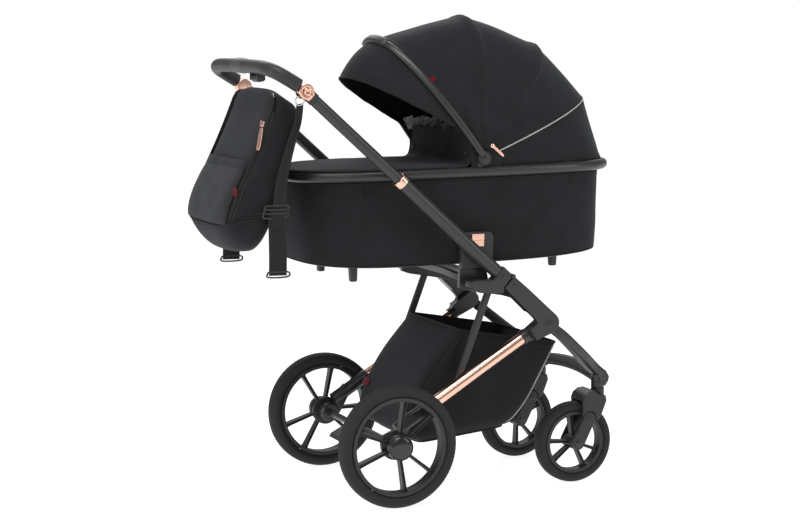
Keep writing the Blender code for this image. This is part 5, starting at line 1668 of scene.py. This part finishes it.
def basket_ring(row, inset, count=200):
    ax, az, bx, bz, half = row
    ring = []
    for turn in turns(count):
        px, py = super_pair(turn, BASKET_POWER)
        blend = 0.5 + 0.5 * px
        x = ax + inset + (bx - ax - 2.0 * inset) * blend
        z = az + (bz - az) * blend
        push = fold_depth(x, z) * max(0.0, abs(py) * 1.6 - 0.6)
        sag = 0.0030 * noise.noise(Vector((x * 11.0, py * 3.0, z * 11.0)))
        ring.append(D(x, (half - inset - push) * py + math.copysign(sag * abs(py), py), z))
    return ring


def basket_corner(row, degrees):
    """A place just off the basket's side at a turn."""
    px, py = super_pair(math.radians(degrees), BASKET_POWER)
    blend = 0.5 + 0.5 * px
    ax, az, bx, bz, half = row
    return D(ax + (bx - ax) * blend, (half + 0.0008) * py, az + (bz - az) * blend)


def basket_floor(f):
    """The lowest row drawn in towards the middle by a share f."""
    ax, az, bx, bz, half = BASKET_CURVE[0]
    return basket_ring((ax + (BASKET_MIDDLE - ax) * f, az + 0.012 * f, bx - (bx - BASKET_MIDDLE) * f,
                        bz - 0.012 * f, half * (1.0 - f)), 0.0)


def add_basket():
    sides = Shape().skin([basket_ring(row, 0.0002) for row in BASKET_CURVE], caps=False)
    sides.skin([basket_floor(f) for f in (0.0, 0.15, 0.35, 0.6, 0.85, 0.97)])
    make("basket_cloth", sides, "chassis", FABRIC, ("basket",), sharp=60.0, wall=0.0022)
    trim = Shape()
    top = basket_ring(BASKET_CURVE[-1], 0.0010, 260)
    trim.sweep([p + UP * 0.0006 for p in top], (0.0030, 0.0030), 12, closed=True)
    line = basket_ring(BASKET_CURVE[-3], -0.0006, 260)
    trim.stitches(line, lambda p: Vector((0, math.copysign(1.0, p.y), 0)), mat=1)
    for s in (-1.0, 1.0):
        for degrees, half, count, mat in ((47.0, 0.0019, 10, 2), (133.0, 0.0015, 8, 0)):
            edge = [basket_corner(row, s * degrees) for row in BASKET_CURVE[4:]]
            trim.sweep(edge, (half, half), count, SIDEWAYS, mat=mat)
    ring = basket_ring(BASKET_CURVE[0], -0.0010, 220)
    trim.sweep(ring, (0.0015, 0.0015), 8, closed=True)
    make("basket_trim", trim, "chassis", [FABRIC, THREAD, TRIM], sharp=70.0)
    lean, out = Vector((0.42, 0.0, 0.907)), Vector((-0.907, 0.0, 0.42))
    place, side = D(0.0700, 0.1260, 0.2330), Vector(SIDEWAYS)
    tag = Shape().slab(place, side * 0.0200, lean * 0.0090, out * 0.0006, 0.0003)
    make("basket_red_tag", tag, "chassis", RED)


add_basket()


# ---------------------------------------------------------------- CAD pieces that stay
KEPT = (
    # node, material, edge rounding
    ("side_frame", FRAME_PAINT, 0.0009), ("hinge_head", FRAME_PAINT, 0.0009),
    ("rear_knuckle", FRAME_PAINT, 0.0009), ("hub_bracket", FRAME_PAINT, 0.0009),
    ("strut", FRAME_PAINT, 0.0006), ("caster_fork", PLASTIC, 0.0008), ("swing_arm", PLASTIC, 0.0008),
    ("adapter", PLASTIC, 0.0008), ("adapter_button", ROSE, 0.0006),
)
KEPT_SINGLE = (
    ("cot_bridge", FRAME_PAINT, 0.0008), ("rear_axle", FRAME_PAINT, 0.0008), ("brake_pedal", PLASTIC, 0.0008),
    ("fold_trigger", PLASTIC, 0.0008), ("hood_hoop_top", PLASTIC, 0.0), ("hood_hoop_rear", PLASTIC, 0.0),
)


def keep(node, material, rounding):
    """Gives a CAD node its finish, with welded points and rounded edges."""
    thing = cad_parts[node]
    if not thing.material_slots:
        thing.data.materials.append(material)
    for slot in thing.material_slots:
        slot.material = material
    weld = thing.modifiers.new("weld", "WELD")
    weld.merge_threshold = 0.00002
    if rounding:
        bevel = thing.modifiers.new("round", "BEVEL")
        bevel.width = rounding
        bevel.segments = 2
        bevel.limit_method = "ANGLE"
        bevel.angle_limit = math.radians(34.0)
        bevel.miter_outer = "MITER_ARC"
    normals = thing.modifiers.new("normals", "WEIGHTED_NORMAL")
    normals.keep_sharp = False


for node_name, finish, rounding in KEPT:
    for side_label, _ in SIDES:
        keep(f"{node_name}_{side_label}", finish, rounding)
for node_name, finish, rounding in KEPT_SINGLE:
    keep(node_name, finish, rounding)
